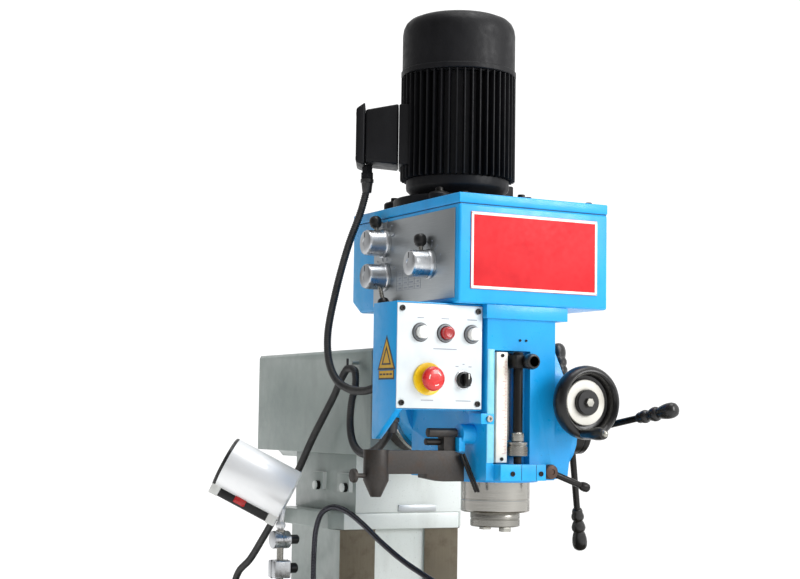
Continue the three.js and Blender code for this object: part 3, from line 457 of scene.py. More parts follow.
class Finish:
    """A node material under construction, with Object coordinates to hand."""

    def __init__(self, name, roughness, metallic=0.0, coat=0.0, specular=0.5):
        self.material = bpy.data.materials.new(name)
        self.material.use_nodes = True
        self.tree = self.material.node_tree
        self.shader = self.tree.nodes["Principled BSDF"]
        self.shader.inputs["Roughness"].default_value = roughness
        self.shader.inputs["Metallic"].default_value = metallic
        self.shader.inputs["Coat Weight"].default_value = coat
        self.shader.inputs["Coat Roughness"].default_value = 0.12
        self.shader.inputs["Specular IOR Level"].default_value = specular
        self.place = self.node("ShaderNodeTexCoord").outputs["Object"]

    def node(self, kind, inputs=None, **settings):
        made = self.tree.nodes.new(kind)
        for key, value in settings.items():
            setattr(made, key, value)
        for key, value in (inputs or {}).items():
            if isinstance(value, bpy.types.NodeSocket):
                self.tree.links.new(value, made.inputs[key])
            else:
                made.inputs[key].default_value = value
        return made

    def noise(self, scale, detail=4, stretch=(1, 1, 1), rough=0.5):
        mapped = self.node("ShaderNodeMapping", {"Vector": self.place, "Scale": stretch})
        return self.node("ShaderNodeTexNoise", {
            "Vector": mapped.outputs[0], "Scale": scale, "Detail": detail, "Roughness": rough,
        }).outputs["Fac"]

    def stretch(self, value, low, high, to_low=0.0, to_high=1.0):
        return self.node("ShaderNodeMapRange", {
            "Value": value, "From Min": low, "From Max": high,
            "To Min": to_low, "To Max": to_high,
        }).outputs["Result"]

    def math(self, operation, first, second):
        made = self.node("ShaderNodeMath", operation=operation)
        for index, value in enumerate((first, second)):
            if isinstance(value, bpy.types.NodeSocket):
                self.tree.links.new(value, made.inputs[index])
            else:
                made.inputs[index].default_value = value
        return made.outputs[0]

    def mix(self, factor, first, second, blend="MIX"):
        made = self.node("ShaderNodeMix", data_type="RGBA", blend_type=blend)
        for index, value in ((0, factor), (6, first), (7, second)):
            if isinstance(value, bpy.types.NodeSocket):
                self.tree.links.new(value, made.inputs[index])
            else:
                made.inputs[index].default_value = value
        return made.outputs[2]

    def edges(self, radius):
        """1 along worn outer edges, 0 on flat faces."""
        rounded = self.node("ShaderNodeBevel", {"Radius": radius}, samples=4)
        true = self.node("ShaderNodeNewGeometry").outputs["Normal"]
        dot = self.node("ShaderNodeVectorMath", {0: rounded.outputs[0], 1: true},
                        operation="DOT_PRODUCT")
        bent = self.math("SUBTRACT", 1.0, dot.outputs["Value"])
        return self.stretch(bent, 0.02, 0.25)

    def bumps(self, *layers):
        """Layers of (height, strength, distance), each on top of the last."""
        below = None
        for height, strength, distance in layers:
            inputs = {"Height": height, "Strength": strength, "Distance": distance}
            if below:
                inputs["Normal"] = below
            below = self.node("ShaderNodeBump", inputs).outputs["Normal"]
        self.tree.links.new(below, self.shader.inputs["Normal"])

    def colour(self, value):
        self.tree.links.new(value, self.shader.inputs["Base Color"])

    def roughness(self, value):
        self.tree.links.new(value, self.shader.inputs["Roughness"])

    def metallic(self, value):
        self.tree.links.new(value, self.shader.inputs["Metallic"])


print("finish helpers ready")


# %% Enamel paint over iron
def enamel(
    name, base, shade, chip, rough=0.34, peel=0.12, wear=0.35, coat=0.25, cast_bump=0.1, specular=0.5,
):
    """Sprayed enamel: base and shade are its lighter and duller colours, chip is what edges show."""
    f = Finish(name, rough, coat=coat, specular=specular)
    broad = f.stretch(f.noise(5.5, 5), 0.35, 0.68)
    tone = f.mix(broad, base, shade)
    specks = f.stretch(f.noise(520, 2), 0.66, 0.74)
    tone = f.mix(f.math("MULTIPLY", specks, 0.45), tone, chip)
    smear = f.stretch(f.noise(26, 6, (1, 1, 0.25)), 0.52, 0.8)
    tone = f.mix(f.math("MULTIPLY", smear, 0.2), tone, chip)
    edge = f.edges(0.0022)
    ragged = f.stretch(f.noise(170, 5), 0.46, 0.62)
    worn = f.math("MULTIPLY", f.math("MULTIPLY", edge, ragged), wear)
    f.colour(f.mix(worn, tone, chip))
    uneven = f.stretch(f.noise(60, 4), 0.3, 0.75, rough - 0.07, rough + 0.14)
    f.roughness(uneven)
    f.bumps((f.noise(34, 3), cast_bump, 0.004), (f.noise(430, 2), peel, 0.0005))
    return f.material


BLUE = enamel(
    "blue_enamel", srgb(22, 164, 228), srgb(14, 148, 218), srgb(20, 82, 124), peel=0.12, coat=0.15,
    wear=0.3, specular=0.35,
)
LIGHT_BLUE = enamel(
    "pale_blue_casting", srgb(122, 196, 222), srgb(92, 172, 206), srgb(46, 100, 130), peel=0.4,
    cast_bump=0.9, rough=0.45,
)
# The grey enamel is the off-white paint darkened as on faces turned away from the light: painted shade.
PAINTED_SHADE_GREY = enamel(
    "grey_enamel_painted_shade", srgb(150, 160, 156), srgb(132, 144, 140), srgb(84, 88, 80), cast_bump=0.18,
    rough=0.4, wear=0.55,
)
OFF_WHITE = enamel(
    "off_white_enamel", srgb(222, 227, 224), srgb(206, 213, 209), srgb(110, 108, 98), rough=0.38,
    wear=0.45,
)
MOTOR_BLACK = enamel(
    "motor_black_enamel", srgb(11, 11, 13), srgb(17, 17, 20), srgb(38, 38, 40), rough=0.46,
    peel=0.22, wear=0.3, cast_bump=0.25, coat=0.0, specular=0.2,
)
print("enamels", BLUE.name, LIGHT_BLUE.name, PAINTED_SHADE_GREY.name, OFF_WHITE.name, MOTOR_BLACK.name)


# %% Machined and polished metal
def metal(name, bright, dull, rough, stretch=(1, 1, 1), lines=260, stain=None, wear=0.4, metallic=1.0):
    """Bare metal with machining lines along the axes whose stretch is small."""
    f = Finish(name, rough, metallic=metallic)
    scratch = f.noise(lines, 3, stretch)
    broad = f.stretch(f.noise(9, 4), 0.2, 0.85, 0.0, 0.7)
    tone = f.mix(broad, bright, dull)
    tone = f.mix(f.stretch(scratch, 0.35, 0.7, 0.0, 0.2), tone, dull)
    if stain:
        patch = f.stretch(f.noise(38, 7, rough=0.65), 0.5, 0.72, 0.0, 0.75)
        tone = f.mix(patch, tone, stain)
    edge = f.edges(0.0012)
    f.colour(f.mix(f.math("MULTIPLY", edge, wear), tone, bright))
    f.roughness(f.stretch(scratch, 0.25, 0.8, rough - 0.05, rough + 0.1))
    f.bumps((f.noise(30, 3), 0.02, 0.001), (scratch, 0.05, 0.0001))
    return f.material


RINGS_Z = (0.04, 0.04, 1)
BRIGHT = metal("polished_quill_steel", srgb(188, 186, 180), srgb(156, 153, 146), 0.2, RINGS_Z, 500)
STEEL = metal("turned_steel", srgb(166, 164, 158), srgb(122, 120, 114), 0.26, RINGS_Z, 500)
SCREW_STEEL = metal("zinc_screw_steel", srgb(176, 175, 168), srgb(120, 118, 112), 0.3)
ALUMINIUM = metal(
    "turned_aluminium", srgb(206, 208, 210), srgb(168, 171, 175), 0.28, (1, 0.05, 0.05), 460,
)
SATIN = metal("satin_aluminium_plate", srgb(186, 190, 192), srgb(150, 156, 160), 0.36, (1, 0.03, 1), 700)
BLACKENED = metal("blackened_steel", srgb(46, 45, 44), srgb(26, 25, 25), 0.34, metallic=0.85)
RAW_IRON = metal(
    "dark_rough_iron", srgb(64, 60, 57), srgb(38, 37, 36), 0.5, stain=srgb(62, 48, 38), metallic=0.6,
)
GROUND_IRON = metal(
    "scraped_iron", srgb(118, 110, 94), srgb(86, 79, 66), 0.38, (1, 1, 0.05), 380,
    stain=srgb(86, 76, 62), metallic=0.35,
)
BRASS = metal("aged_brass", srgb(196, 152, 84), srgb(128, 88, 48), 0.32, stain=srgb(84, 52, 32))
CHROME = metal("satin_lamp_metal", srgb(250, 251, 252), srgb(240, 242, 243), 0.36, lines=120, metallic=0.35)
print("metals", BRIGHT.name, STEEL.name, ALUMINIUM.name, RAW_IRON.name)


# %% Plastics, rubber and print
def plastic(name, base, shade, rough, grain=0.08, coat=0.0, specular=0.5):
    """Moulded plastic with a fine grain and a slightly dusty surface."""
    f = Finish(name, rough, coat=coat, specular=specular)
    tone = f.mix(f.stretch(f.noise(22, 5), 0.35, 0.7), base, shade)
    edge = f.edges(0.0010)
    f.colour(f.mix(f.math("MULTIPLY", edge, 0.25), tone, shade))
    f.roughness(f.stretch(f.noise(90, 4), 0.3, 0.75, rough - 0.06, rough + 0.12))
    f.bumps((f.noise(700, 2), grain, 0.0003), (f.noise(60, 2), 0.04, 0.001))
    return f.material


PHENOLIC = plastic(
    "black_phenolic", srgb(14, 14, 15), srgb(28, 27, 27), 0.33, 0.05, 0.15, specular=0.35,
)
RUBBER = plastic("black_conduit_rubber", srgb(30, 30, 31), srgb(52, 51, 50), 0.42, 0.2)
WHITE = plastic("white_button_plastic", srgb(238, 239, 236), srgb(216, 217, 213), 0.26, 0.03, 0.3)
PANEL = plastic("white_control_panel", srgb(210, 217, 219), srgb(196, 205, 209), 0.4, 0.06)
RED = plastic("red_button_plastic", srgb(206, 24, 24), srgb(168, 14, 16), 0.24, 0.03, 0.4)
DARK_RED = plastic("dark_red_button", srgb(176, 22, 24), srgb(128, 14, 16), 0.26, 0.03, 0.3)
YELLOW = plastic("yellow_collar_plastic", srgb(240, 206, 30), srgb(214, 176, 18), 0.3, 0.04, 0.2)
CAPTION = plastic("grey_caption_ink", srgb(146, 152, 162), srgb(128, 134, 146), 0.5, 0.04)
OCHRE = plastic("ochre_label_vinyl", srgb(204, 160, 30), srgb(184, 142, 24), 0.45, 0.03)
RING_GREY = plastic("grey_bezel_plastic", srgb(120, 124, 128), srgb(92, 96, 100), 0.35, 0.03)
JOINT_BLUE = plastic("dark_blue_joint", srgb(16, 66, 98), srgb(12, 50, 78), 0.6, 0.04)
INK = plastic("dark_printing_ink", srgb(42, 44, 48), srgb(64, 66, 70), 0.5, 0.04)
RED_INK = plastic("red_printing_ink", srgb(190, 34, 30), srgb(160, 26, 24), 0.5, 0.04)
BADGE = plastic("red_nameplate_enamel", srgb(212, 40, 46), srgb(196, 30, 38), 0.55, 0.02, specular=0.2)
PALE_INK = plastic("pale_printing_ink", srgb(232, 232, 226), srgb(206, 206, 200), 0.42, 0.04)
SCALE_WHITE = plastic("white_scale_plate", srgb(232, 230, 222), srgb(206, 203, 192), 0.34, 0.04)
LINEN = plastic("blue_grey_cover_plate", srgb(146, 164, 182), srgb(118, 136, 156), 0.42, 0.08)
print("plastics", PHENOLIC.name, PANEL.name, BADGE.name)

# %% [markdown]
# ## Studio
# The machine stands on a plain pale floor under soft light, as in a catalogue. One very large soft
# light hangs to the front right, a weaker one hangs above, and a pale sky lifts the shadows and gives
# the polished parts something to mirror.

# %% Floor, sky and lights
pick()
bpy.ops.mesh.primitive_plane_add(size=60, location=(0, 0, -0.0015))
floor = bpy.context.object
floor.name = "floor"
settle(floor)
floor_finish = Finish("pale_floor", 0.75)
floor_tone = floor_finish.stretch(floor_finish.noise(1.5, 3), 0.3, 0.7)
floor_finish.colour(floor_finish.mix(floor_tone, srgb(244, 244, 244), srgb(240, 240, 240)))
floor_finish.shader.inputs["Emission Color"].default_value = (1, 1, 1, 1)
floor_finish.shader.inputs["Emission Strength"].default_value = 0.35
floor.data.materials.append(floor_finish.material)

world = bpy.data.worlds.new("studio_sky")
bpy.context.scene.world = world
world.use_nodes = True
sky_tree = world.node_tree
sky = sky_tree.nodes["Background"]
direction = sky_tree.nodes.new("ShaderNodeTexCoord").outputs["Generated"]
sides = sky_tree.nodes.new("ShaderNodeSeparateXYZ")
dimmer = sky_tree.nodes.new("ShaderNodeMapRange")
dimmer.inputs["From Min"].default_value = -0.85
dimmer.inputs["From Max"].default_value = 0.35
dimmer.inputs["To Min"].default_value = 0.2
dimmer.inputs["To Max"].default_value = 1.15
seen = sky_tree.nodes.new("ShaderNodeLightPath").outputs["Is Camera Ray"]
strength = sky_tree.nodes.new("ShaderNodeMath")
strength.operation = "MAXIMUM"
sky_tree.links.new(direction, sides.inputs[0])
sky_tree.links.new(sides.outputs["X"], dimmer.inputs["Value"])
sky_tree.links.new(dimmer.outputs["Result"], strength.inputs[0])
sky_tree.links.new(seen, strength.inputs[1])
sky_tree.links.new(strength.outputs[0], sky.inputs["Strength"])
sky.inputs["Color"].default_value = (1.0, 1.0, 1.0, 1)
bpy.context.scene.view_settings.view_transform = "Standard"


def soft_light(name, place, target, size, power):
    """A large square light that faces a point."""
    pick()
    bpy.ops.object.light_add(type="AREA", location=place)
    light = bpy.context.object
    light.name = name
    light.data.shape = "SQUARE"
    light.data.size = size
    light.data.energy = power
    aim = (Vector(target) - Vector(place)).to_track_quat("-Z", "Y")
    light.rotation_euler = aim.to_euler()
    return light


soft_light("key_light", (2.6, -4.2, 3.2), (0, -0.2, 1.4), 2.2, 170)
soft_light("top_light", (0.4, -0.8, 4.6), (0, 0, 1.2), 2.0, 60)
print("studio ready")

# %% [markdown]
# ## Measures in millimetres
# A workshop drawing gives millimetres, so these short helpers take them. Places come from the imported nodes:
# each piece is dressed where the node that it stands for is.

# %% Millimetre helpers
def node_box(node):
    """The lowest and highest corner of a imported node, in millimetres."""
    low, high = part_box(node)
    return [v / MM for v in low], [v / MM for v in high]


def span(node, axis):
    """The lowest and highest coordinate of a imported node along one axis, in millimetres."""
    low, high = node_box(node)
    index = "xyz".index(axis)
    return low[index], high[index]


def slab(x0, x1, y0, y1, z0, z1, rounding=0.0, steps=2):
    """A block between planes."""
    return block((x0 * MM, y0 * MM, z0 * MM), (x1 * MM, y1 * MM, z1 * MM), rounding * MM, steps)


def lathe(axis, a, b, profile, sides=64):
    """A turned piece on an axis, through (y, z), (x, z) or (x, y) for the x, y or z axis."""
    at = {"x": (0, a, b), "y": (a, 0, b), "z": (a, b, 0)}[axis]
    return turned(
        [(r * MM, h * MM) for r, h in profile], axis, Vector(at) * MM, sides
    )


def rod(start, end, radius, rounding=0.0, sides=24):
    """A round rod between two points."""
    return strut(radius * MM, Vector(start) * MM, Vector(end) * MM, rounding * MM, sides)


def ring_of_copies(piece, x, y, count, phase=0.0):
    """Copies of a piece drawn along X, set round the upright line through (x, y)."""
    copies = []
    for index in range(count):
        copy = duplicate(piece)
        turn = Matrix.Rotation(2 * math.pi * (index + phase) / count, 4, "Z")
        copy.matrix_world = Matrix.Translation((x * MM, y * MM, 0)) @ turn
        copies.append(settle(copy))
    bpy.data.objects.remove(piece)
    return copies


def cut_from_node(node, width, steps=2):
    """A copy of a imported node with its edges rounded, as a casting or a milled block has them."""
    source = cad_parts[node]
    pick(source)
    bpy.ops.object.duplicate(linked=False)
    piece = bpy.context.object
    piece.parent = None
    bpy.ops.object.mode_set(mode="EDIT")
    bpy.ops.mesh.select_all(action="SELECT")
    bpy.ops.mesh.remove_doubles(threshold=0.00002)
    bpy.ops.mesh.dissolve_limited(angle_limit=math.radians(1.5))
    bpy.ops.object.mode_set(mode="OBJECT")
    round_edges(piece, width * MM, steps, 30)
    return piece


print("fan cover box", node_box("fan_cover"))

# %% [markdown]
# ## Motor
# The motor is a totally enclosed, fan-cooled one: a pressed dome hides the fan, cast cooling fins run down
# the barrel, and a flange with four ears is screwed to the gearbox. The dome and the bell are turned. One fin
# is a narrow block with a rounded edge, and it is copied round the barrel.

# %% Fan cover
TERMINAL_TURN = 0.49


def turned_on_motor(piece):
    """Turns a piece drawn on the motor's left side to where the terminal box sits."""
    centre = Matrix.Translation((0, MOTOR_Y * MM, 0))
    piece.matrix_world = centre @ Matrix.Rotation(-TERMINAL_TURN, 4, "Z") @ centre.inverted()
    return settle(piece)


fx0, fx1 = span("fan_cover", "x")
fy0, fy1 = span("fan_cover", "y")
fz0, fz1 = span("fan_cover", "z")
MOTOR_X, MOTOR_Y = (fx0 + fx1) / 2, (fy0 + fy1) / 2
COVER_R = (fx1 - fx0) / 2
fan_cover = lathe("z", MOTOR_X, MOTOR_Y, [
    (COVER_R - 2, fz0), (COVER_R, fz0 + 1.5), (COVER_R, fz0 + 9), (COVER_R - 2.2, fz0 + 11),
    (COVER_R - 2.2, fz1 - 38), (COVER_R - 4, fz1 - 27), (COVER_R - 8, fz1 - 18),
    (COVER_R - 15, fz1 - 11), (COVER_R - 28, fz1 - 5.5), (COVER_R - 45, fz1 - 2),
    (COVER_R - 70, fz1 - 0.4), (4, fz1),
], 96)
finish_piece(fan_cover, "fan_dome", "head", MOTOR_BLACK, ["fan_cover"])
print("fan dome", len(fan_cover.data.polygons), "faces")

# %% Finned barrel
bz0, bz1 = span("motor_body", "z")
FIN_COUNT = 46
barrel = lathe("z", MOTOR_X, MOTOR_Y, [
    (84, bz0), (86, bz0 + 3), (91, bz0 + 12), (97, bz0 + 18), (98, bz0 + 22), (98, bz0 + 36),
    (92, bz0 + 40), (92, bz1 - 3), (100, bz1 - 2), (100, bz1),
], 96)
fin = slab(88, 109.5, -1.4, 1.4, bz0 + 37, bz1 - 1, 1, 2)
fins = [barrel, *ring_of_copies(fin, MOTOR_X, MOTOR_Y, FIN_COUNT, 0.5)]
pad = turned_on_motor(slab(-112.5, -84, MOTOR_Y - 50, MOTOR_Y + 50, 1752, 1866, 2.5))
lug = slab(86, 118, MOTOR_Y - 14, MOTOR_Y + 14, 1700, 1726, 3)
lug_hole = lathe("z", 106, MOTOR_Y, [(6, 1690), (6, 1740)], 24)
cut_away(lug, lug_hole)
barrel = joined(pad, lug, *reversed(fins))
finish_piece(barrel, "finned_barrel", "head", MOTOR_BLACK, ["motor_body"])
print("finned barrel", len(barrel.data.polygons), "faces")

# %% Motor flange with its ears and screws
lz0, lz1 = span("motor_flange", "z")
flange = lathe("z", MOTOR_X, MOTOR_Y, [
    (121, lz0), (122, lz0 + 1), (122, lz1 - 4), (120.5, lz1 - 1.5), (117, lz1),
], 96)
ears = []
for turn in range(4):
    angle = math.radians(45 + 90 * turn)
    x, y = 125 * math.cos(angle), MOTOR_Y + 125 * math.sin(angle)
    ears.append(lathe("z", x, y, [
        (19.4, lz0), (20, lz0 + 1), (20, lz1 - 4), (18, lz1 - 1.2), (16, lz1),
    ], 32))
    washer = lathe("z", x, y, [(11, lz1 - 1), (11, lz1 + 1.4), (10, lz1 + 2)], 24)
    screw = socket_screw(Vector((x, y, lz1 + 1)) * MM, "z", 7 * MM, 8 * MM)
    head_screw = joined(washer, screw)
    finish_piece(head_screw, f"flange_screw_{turn}", "head", BLACKENED)
flange = joined(*ears, flange)
finish_piece(flange, "motor_foot_ring", "head", MOTOR_BLACK, ["motor_flange"])
print("motor flange", len(flange.data.polygons), "faces")

# %% Terminal box
def wiring_shape(inner, outer, grow):
    """The box's outline with its sloping top, between two distances from the motor's axis."""
    low, high = 1752 - grow, 1868 + grow
    slope = 12 if outer < -150 else 0
    outline = [(low, inner), (high, inner), (high - slope, outer), (low + 6, outer)]
    return sawn([(z * MM, x * MM) for z, x in outline], (MOTOR_Y - 44 - grow) * MM,
                (MOTOR_Y + 44 + grow) * MM, "y", 4 * MM, 3)


terminal = wiring_shape(-113.4, -176, 0)
lid = wiring_shape(-176.8, -193.6, 2)
recess = slab(-200, -191.6, MOTOR_Y - 33, MOTOR_Y + 33, 1773, 1837)
cut_away(lid, recess)
gland = lathe("z", -172, MOTOR_Y, [
    (12, 1730), (13, 1731), (13, 1741), (11, 1742), (11, 1756),
], 6)
terminal = turned_on_motor(joined(gland, lid, terminal))
finish_piece(terminal, "wiring_box", "head", MOTOR_BLACK, ["terminal_box"])
plate = turned_on_motor(slab(-192.8, -191, MOTOR_Y - 32, MOTOR_Y + 32, 1774, 1836, 0.6))
finish_piece(plate, "wiring_box_plate", "head", LINEN)
for index, (dy, z) in enumerate(((-38, 1764), (38, 1764), (-38, 1848), (38, 1848))):
    screw = socket_screw(Vector((-193.2, MOTOR_Y + dy, z)) * MM, "-x", 3.2 * MM, 0.8 * MM)
    finish_piece(turned_on_motor(screw), f"wiring_box_screw_{index}", "head", SCREW_STEEL)
print("wiring box done")

# %% [markdown]
# ## Gearbox
# The speed gearbox is a thick cast box with a separate lid, painted blue. A thin dark joint shows all round
# under the lid. Its left side carries a bright selector plate with three knobs, and its front has a red plate
# in a pale frame. The plate's lettering is left out, because it is a mark; the frame line stays.

# %% Casting and lid
gx0, gx1 = span("gearbox", "x")
gy0, gy1 = span("gearbox", "y")
gz0, gz1 = span("gearbox", "z")
gear_case = cut_from_node("gearbox", 5, 3)
finish_piece(gear_case, "gear_case", "head", BLUE, ["gearbox"])
dx0, dx1 = span("gearbox_lid", "x")
dy0, dy1 = span("gearbox_lid", "y")
dz0, dz1 = span("gearbox_lid", "z")
gear_lid = slab(dx0, dx1, dy0, dy1, dz0, dz1, 2, 3)
finish_piece(gear_lid, "gear_case_lid", "head", BLUE, ["gearbox_lid"])
seal = slab(dx0 + 2, dx1 - 2, dy0 + 2, dy1 - 2, gz1 - 2.5, dz0 + 2.5)
finish_piece(seal, "lid_joint", "head", JOINT_BLUE)
for index, (x, y) in enumerate((
    (-120, -375), (140, -375), (-120, -15), (140, -15), (10, -375), (-120, -290), (140, -290),
)):
    screw = socket_screw(Vector((x, y, dz1)) * MM, "z", 6 * MM, 5 * MM)
    finish_piece(screw, f"lid_screw_{index}", "head", BLACKENED)
print("gear case", [round(v) for v in (gx0, gx1, gy0, gy1, gz0, gz1)])

# %% Front plate
px0, px1 = span("badge_plate", "x")
py0, py1 = span("badge_plate", "y")
pz0, pz1 = span("badge_plate", "z")
badge = slab(px0, px1, py0 + 0.6, py1, pz0, pz1, 0.5, 2)
finish_piece(badge, "front_plate", "head", BADGE, ["badge_plate"])


def frame_line(x0, x1, z0, z1, y, width):
    """A thin raised frame on a plate that faces the front."""
    outer = slab(x0, x1, y - 0.35, y + 0.5, z0, z1)
    inner = slab(x0 + width, x1 - width, y - 2, y + 2, z0 + width, z1 - width)
    return cut_away(outer, inner)


border = frame_line(px0 + 0.6, px1 - 0.6, pz0 + 0.6, pz1 - 0.6, py0 + 0.5, 4.6)
finish_piece(border, "front_plate_frame", "head", PALE_INK)
rivets = []
for x in (px0 + 2.4, px1 - 2.4):
    for z in (pz0 + 2.4, pz1 - 2.4):
        rivets.append(lathe("y", x, z, [(0.6, py0 - 0.2), (1.5, py0 + 0.2), (1.7, py0 + 0.9)], 12))
finish_piece(joined(*rivets), "front_plate_rivets", "head", SCREW_STEEL)
print("front plate", round(px1 - px0), "by", round(pz1 - pz0), "mm")

# %% Selector plate
sx0, sx1 = span("selector_plate", "x")
sy0, sy1 = span("selector_plate", "y")
sz0, sz1 = span("selector_plate", "z")
selector_sheet = slab(sx0 + 0.5, sx1, sy0, sy1, sz0, sz1, 0.4, 2)
finish_piece(selector_sheet, "selector_sheet", "head", SATIN, ["selector_plate"])


def tick_marks(y, z, start, stop, count, inner, outer, x):
    """Short marks fanned round a knob on the left face, with a ring round them."""
    marks = []
    for index in range(count):
        angle = math.radians(start + (stop - start) * index / (count - 1))
        a = (x, y + inner * math.sin(angle), z + inner * math.cos(angle))
        b = (x, y + outer * math.sin(angle), z + outer * math.cos(angle))
        marks.append(rod(a, b, 0.55, sides=6))
        dot = (x + 0.3, y + (outer + 5) * math.sin(angle), z + (outer + 5) * math.cos(angle))
        marks.append(rod(dot, (x - 0.4, dot[1], dot[2]), 1.7, sides=12))
    return joined(*marks)


KNOBS = ((-126, 1600), (-128, 1537), (-299, 1548))
for index, (y, z) in enumerate(KNOBS):
    marks = tick_marks(y, z, -70, 70, 6, 31, 37, sx0 + 0.4)
    finish_piece(marks, f"speed_marks_{index}", "head", CAPTION)
chart = []
for row in range(5):
    z = 1508 + row * 9
    chart.append(slab(sx0 + 0.25, sx0 + 1, -268, -176, z, z + 0.7))
for y in (-268, -245, -222, -199, -176.7):
    chart.append(slab(sx0 + 0.25, sx0 + 1, y, y + 0.7, 1508, 1544.7))
for row in range(4):
    for column in range(4):
        z, y = 1511 + row * 9, -262 + column * 23
        width = 8 + 3 * ((row * 3 + column * 5) % 3)
        chart.append(slab(sx0 + 0.25, sx0 + 1, y, y + width, z, z + 2.6))
finish_piece(joined(*chart), "speed_chart", "head", CAPTION)
print("selector sheet dressed")

# %% [markdown]
# ## Speed knobs
# Each knob is a tapered aluminium hub, turned with a step at its foot, and a short steel stem with a black
# grip stands on its rim. The three differ only in where the grip points, so one function makes them.

# %% Three knobs
KNOB_ANGLES = ((0.25, 20), (3.6, 36), (0.2, 22))
for index, ((y, z), (angle, reach)) in enumerate(zip(KNOBS, KNOB_ANGLES)):
    face = sx0 + 0.2
    hub = lathe("x", y, z, [
        (27, face), (27, face - 5), (25.4, face - 6.5), (24.6, face - 9), (23.4, face - 36),
        (23, face - 38), (21.6, face - 40.4), (19.6, face - 41.4), (8, face - 41.6),
        (7.4, face - 40.6), (0.6, face - 40.6),
    ], 72)
    finish_piece(hub, f"knob_hub_{index}", f"speed_knob_{index + 1}", ALUMINIUM,
                 [f"speed_knob_{index + 1}"])
    aim = Vector((0, math.sin(angle), math.cos(angle)))
    start = Vector((face - 13.8, y, z)) + aim * 12
    stem = rod(start, start + aim * reach, 3.8)
    finish_piece(stem, f"knob_stem_{index}", f"speed_knob_{index + 1}", STEEL)
    grip = turned([(r * MM, h * MM) for r, h in (
        (5.4, 0), (6.4, 0.8), (10, 4), (11.4, 9), (11.6, 14), (10.6, 18.6), (8, 21.6), (3, 22.6),
    )], sides=40)
    aimed(grip, (start + aim * (reach - 2)) * MM, aim)
    finish_piece(grip, f"knob_grip_{index}", f"speed_knob_{index + 1}", PHENOLIC)
    pointer = slab(face - 41.9, face - 41, y - 1, y + 1, z + 9, z + 19)
    finish_piece(pointer, f"knob_mark_{index}", f"speed_knob_{index + 1}", INK)
print("speed knobs", len(KNOBS))

# %% [markdown]
# ## Control box
# The control box is folded and welded sheet steel in the same blue. A white panel covers its front, held by
# a dark screw at each corner, and carries three push-buttons, a mushroom stop head in a yellow collar and a
# turn switch. The caption lines are plain bars, because the words on the real one are left out. On its left
# side are a yellow warning triangle without its symbol and a small yellow strip.

# %% Box and panel
cx0 = span("control_box", "x")[0]
cy0 = span("control_box", "y")[0]
control_case = cut_from_node("control_box", 1.6, 2)
finish_piece(control_case, "control_case", "head", BLUE, ["control_box"])
qx0, qx1 = span("control_panel", "x")
qz0, qz1 = span("control_panel", "z")
BUTTON_Z = 1422
BUTTONS = (("on_button", WHITE), ("stop_button", DARK_RED), ("start_button", WHITE))
STOP_SPOT = (-194, 1343)
SWITCH_SPOT = (-123, 1343)
sheet = slab(qx0 + 0.2, qx1 - 0.2, cy0 - 2.6, cy0 - 0.3, qz0, qz1, 0.8, 2)
holes = [lathe("y", x, z, [(r, cy0 - 9), (r, cy0 + 9)], 32) for x, z, r in (
    *[(sum(b[0] for b in node_box(n)) / 2, BUTTON_Z, 12) for n, _ in BUTTONS],
    (*STOP_SPOT, 10.6), (*SWITCH_SPOT, 10),
)]
cut_away(sheet, *holes)
finish_piece(sheet, "control_panel_sheet", "head", PANEL, ["control_panel"])
for index, (x, z) in enumerate(((-244, 1302), (-244, 1462), (-95, 1302), (-95, 1462))):
    screw = socket_screw(Vector((x, cy0 - 2.6, z)) * MM, "-y", 5 * MM, 3.2 * MM)
    finish_piece(screw, f"panel_screw_{index}", "head", BLACKENED)
# A thin dark strip shows just above and below the panel sheet: a painted shadow line along its edges.
shadow_line = slab(qx0 + 1, qx1 - 1, cy0 - 0.7, cy0 - 0.1, qz0 - 0.8, qz1 + 0.8)
button_spots = [(sum(b[0] for b in node_box(n)) / 2, BUTTON_Z) for n, _ in BUTTONS]
cut_away(shadow_line, *[
    lathe("y", x, z, [(13, cy0 - 9), (13, cy0 + 9)], 24) for x, z in (*button_spots, STOP_SPOT)
])
finish_piece(shadow_line, "panel_edge_painted_shadow", "head", RUBBER)
print("panel", round(qx1 - qx0), "by", round(qz1 - qz0), "mm")

# %% Push-buttons
for node, material in BUTTONS:
    ax0, ax1 = span(node, "x")
    ay0, ay1 = span(node, "y")
    x = (ax0 + ax1) / 2
    skirt = lathe("y", x, BUTTON_Z, [(16.4, cy0 - 2.65), (16.4, cy0 - 3.4), (14, cy0 - 3.6)], 48)
    cut_away(skirt, lathe("y", x, BUTTON_Z, [(11.5, cy0 - 9), (11.5, cy0 + 9)], 48))
    finish_piece(skirt, f"{node}_skirt", "head", RUBBER)
    bezel = lathe("y", x, BUTTON_Z, [
        (15.2, cy0 - 2.9), (15.2, cy0 - 5.6), (14.4, cy0 - 7), (12.6, cy0 - 7.2), (11.7, cy0 - 6),
        (11.6, cy0 - 3.2),
    ], 48)
    cut_away(bezel, lathe("y", x, BUTTON_Z, [(11.4, cy0 - 12), (11.4, cy0 + 9)], 48))
    finish_piece(bezel, f"{node}_ring", "head", RING_GREY)
    cap = lathe("y", x, BUTTON_Z, [
        (10.8, ay1), (11, ay0 + 3), (10.6, ay0 + 1.2), (9.4, ay0 + 0.3), (7.5, ay0 + 0.05),
        (7, ay0 + 0.5), (0.5, ay0 + 1.1),
    ], 48)
    slot_name = "red_plastic" if node == "stop_button" else "white_plastic"
    finish_piece(cap, f"{node}_cap", node, material, [node])
print("push-buttons done")

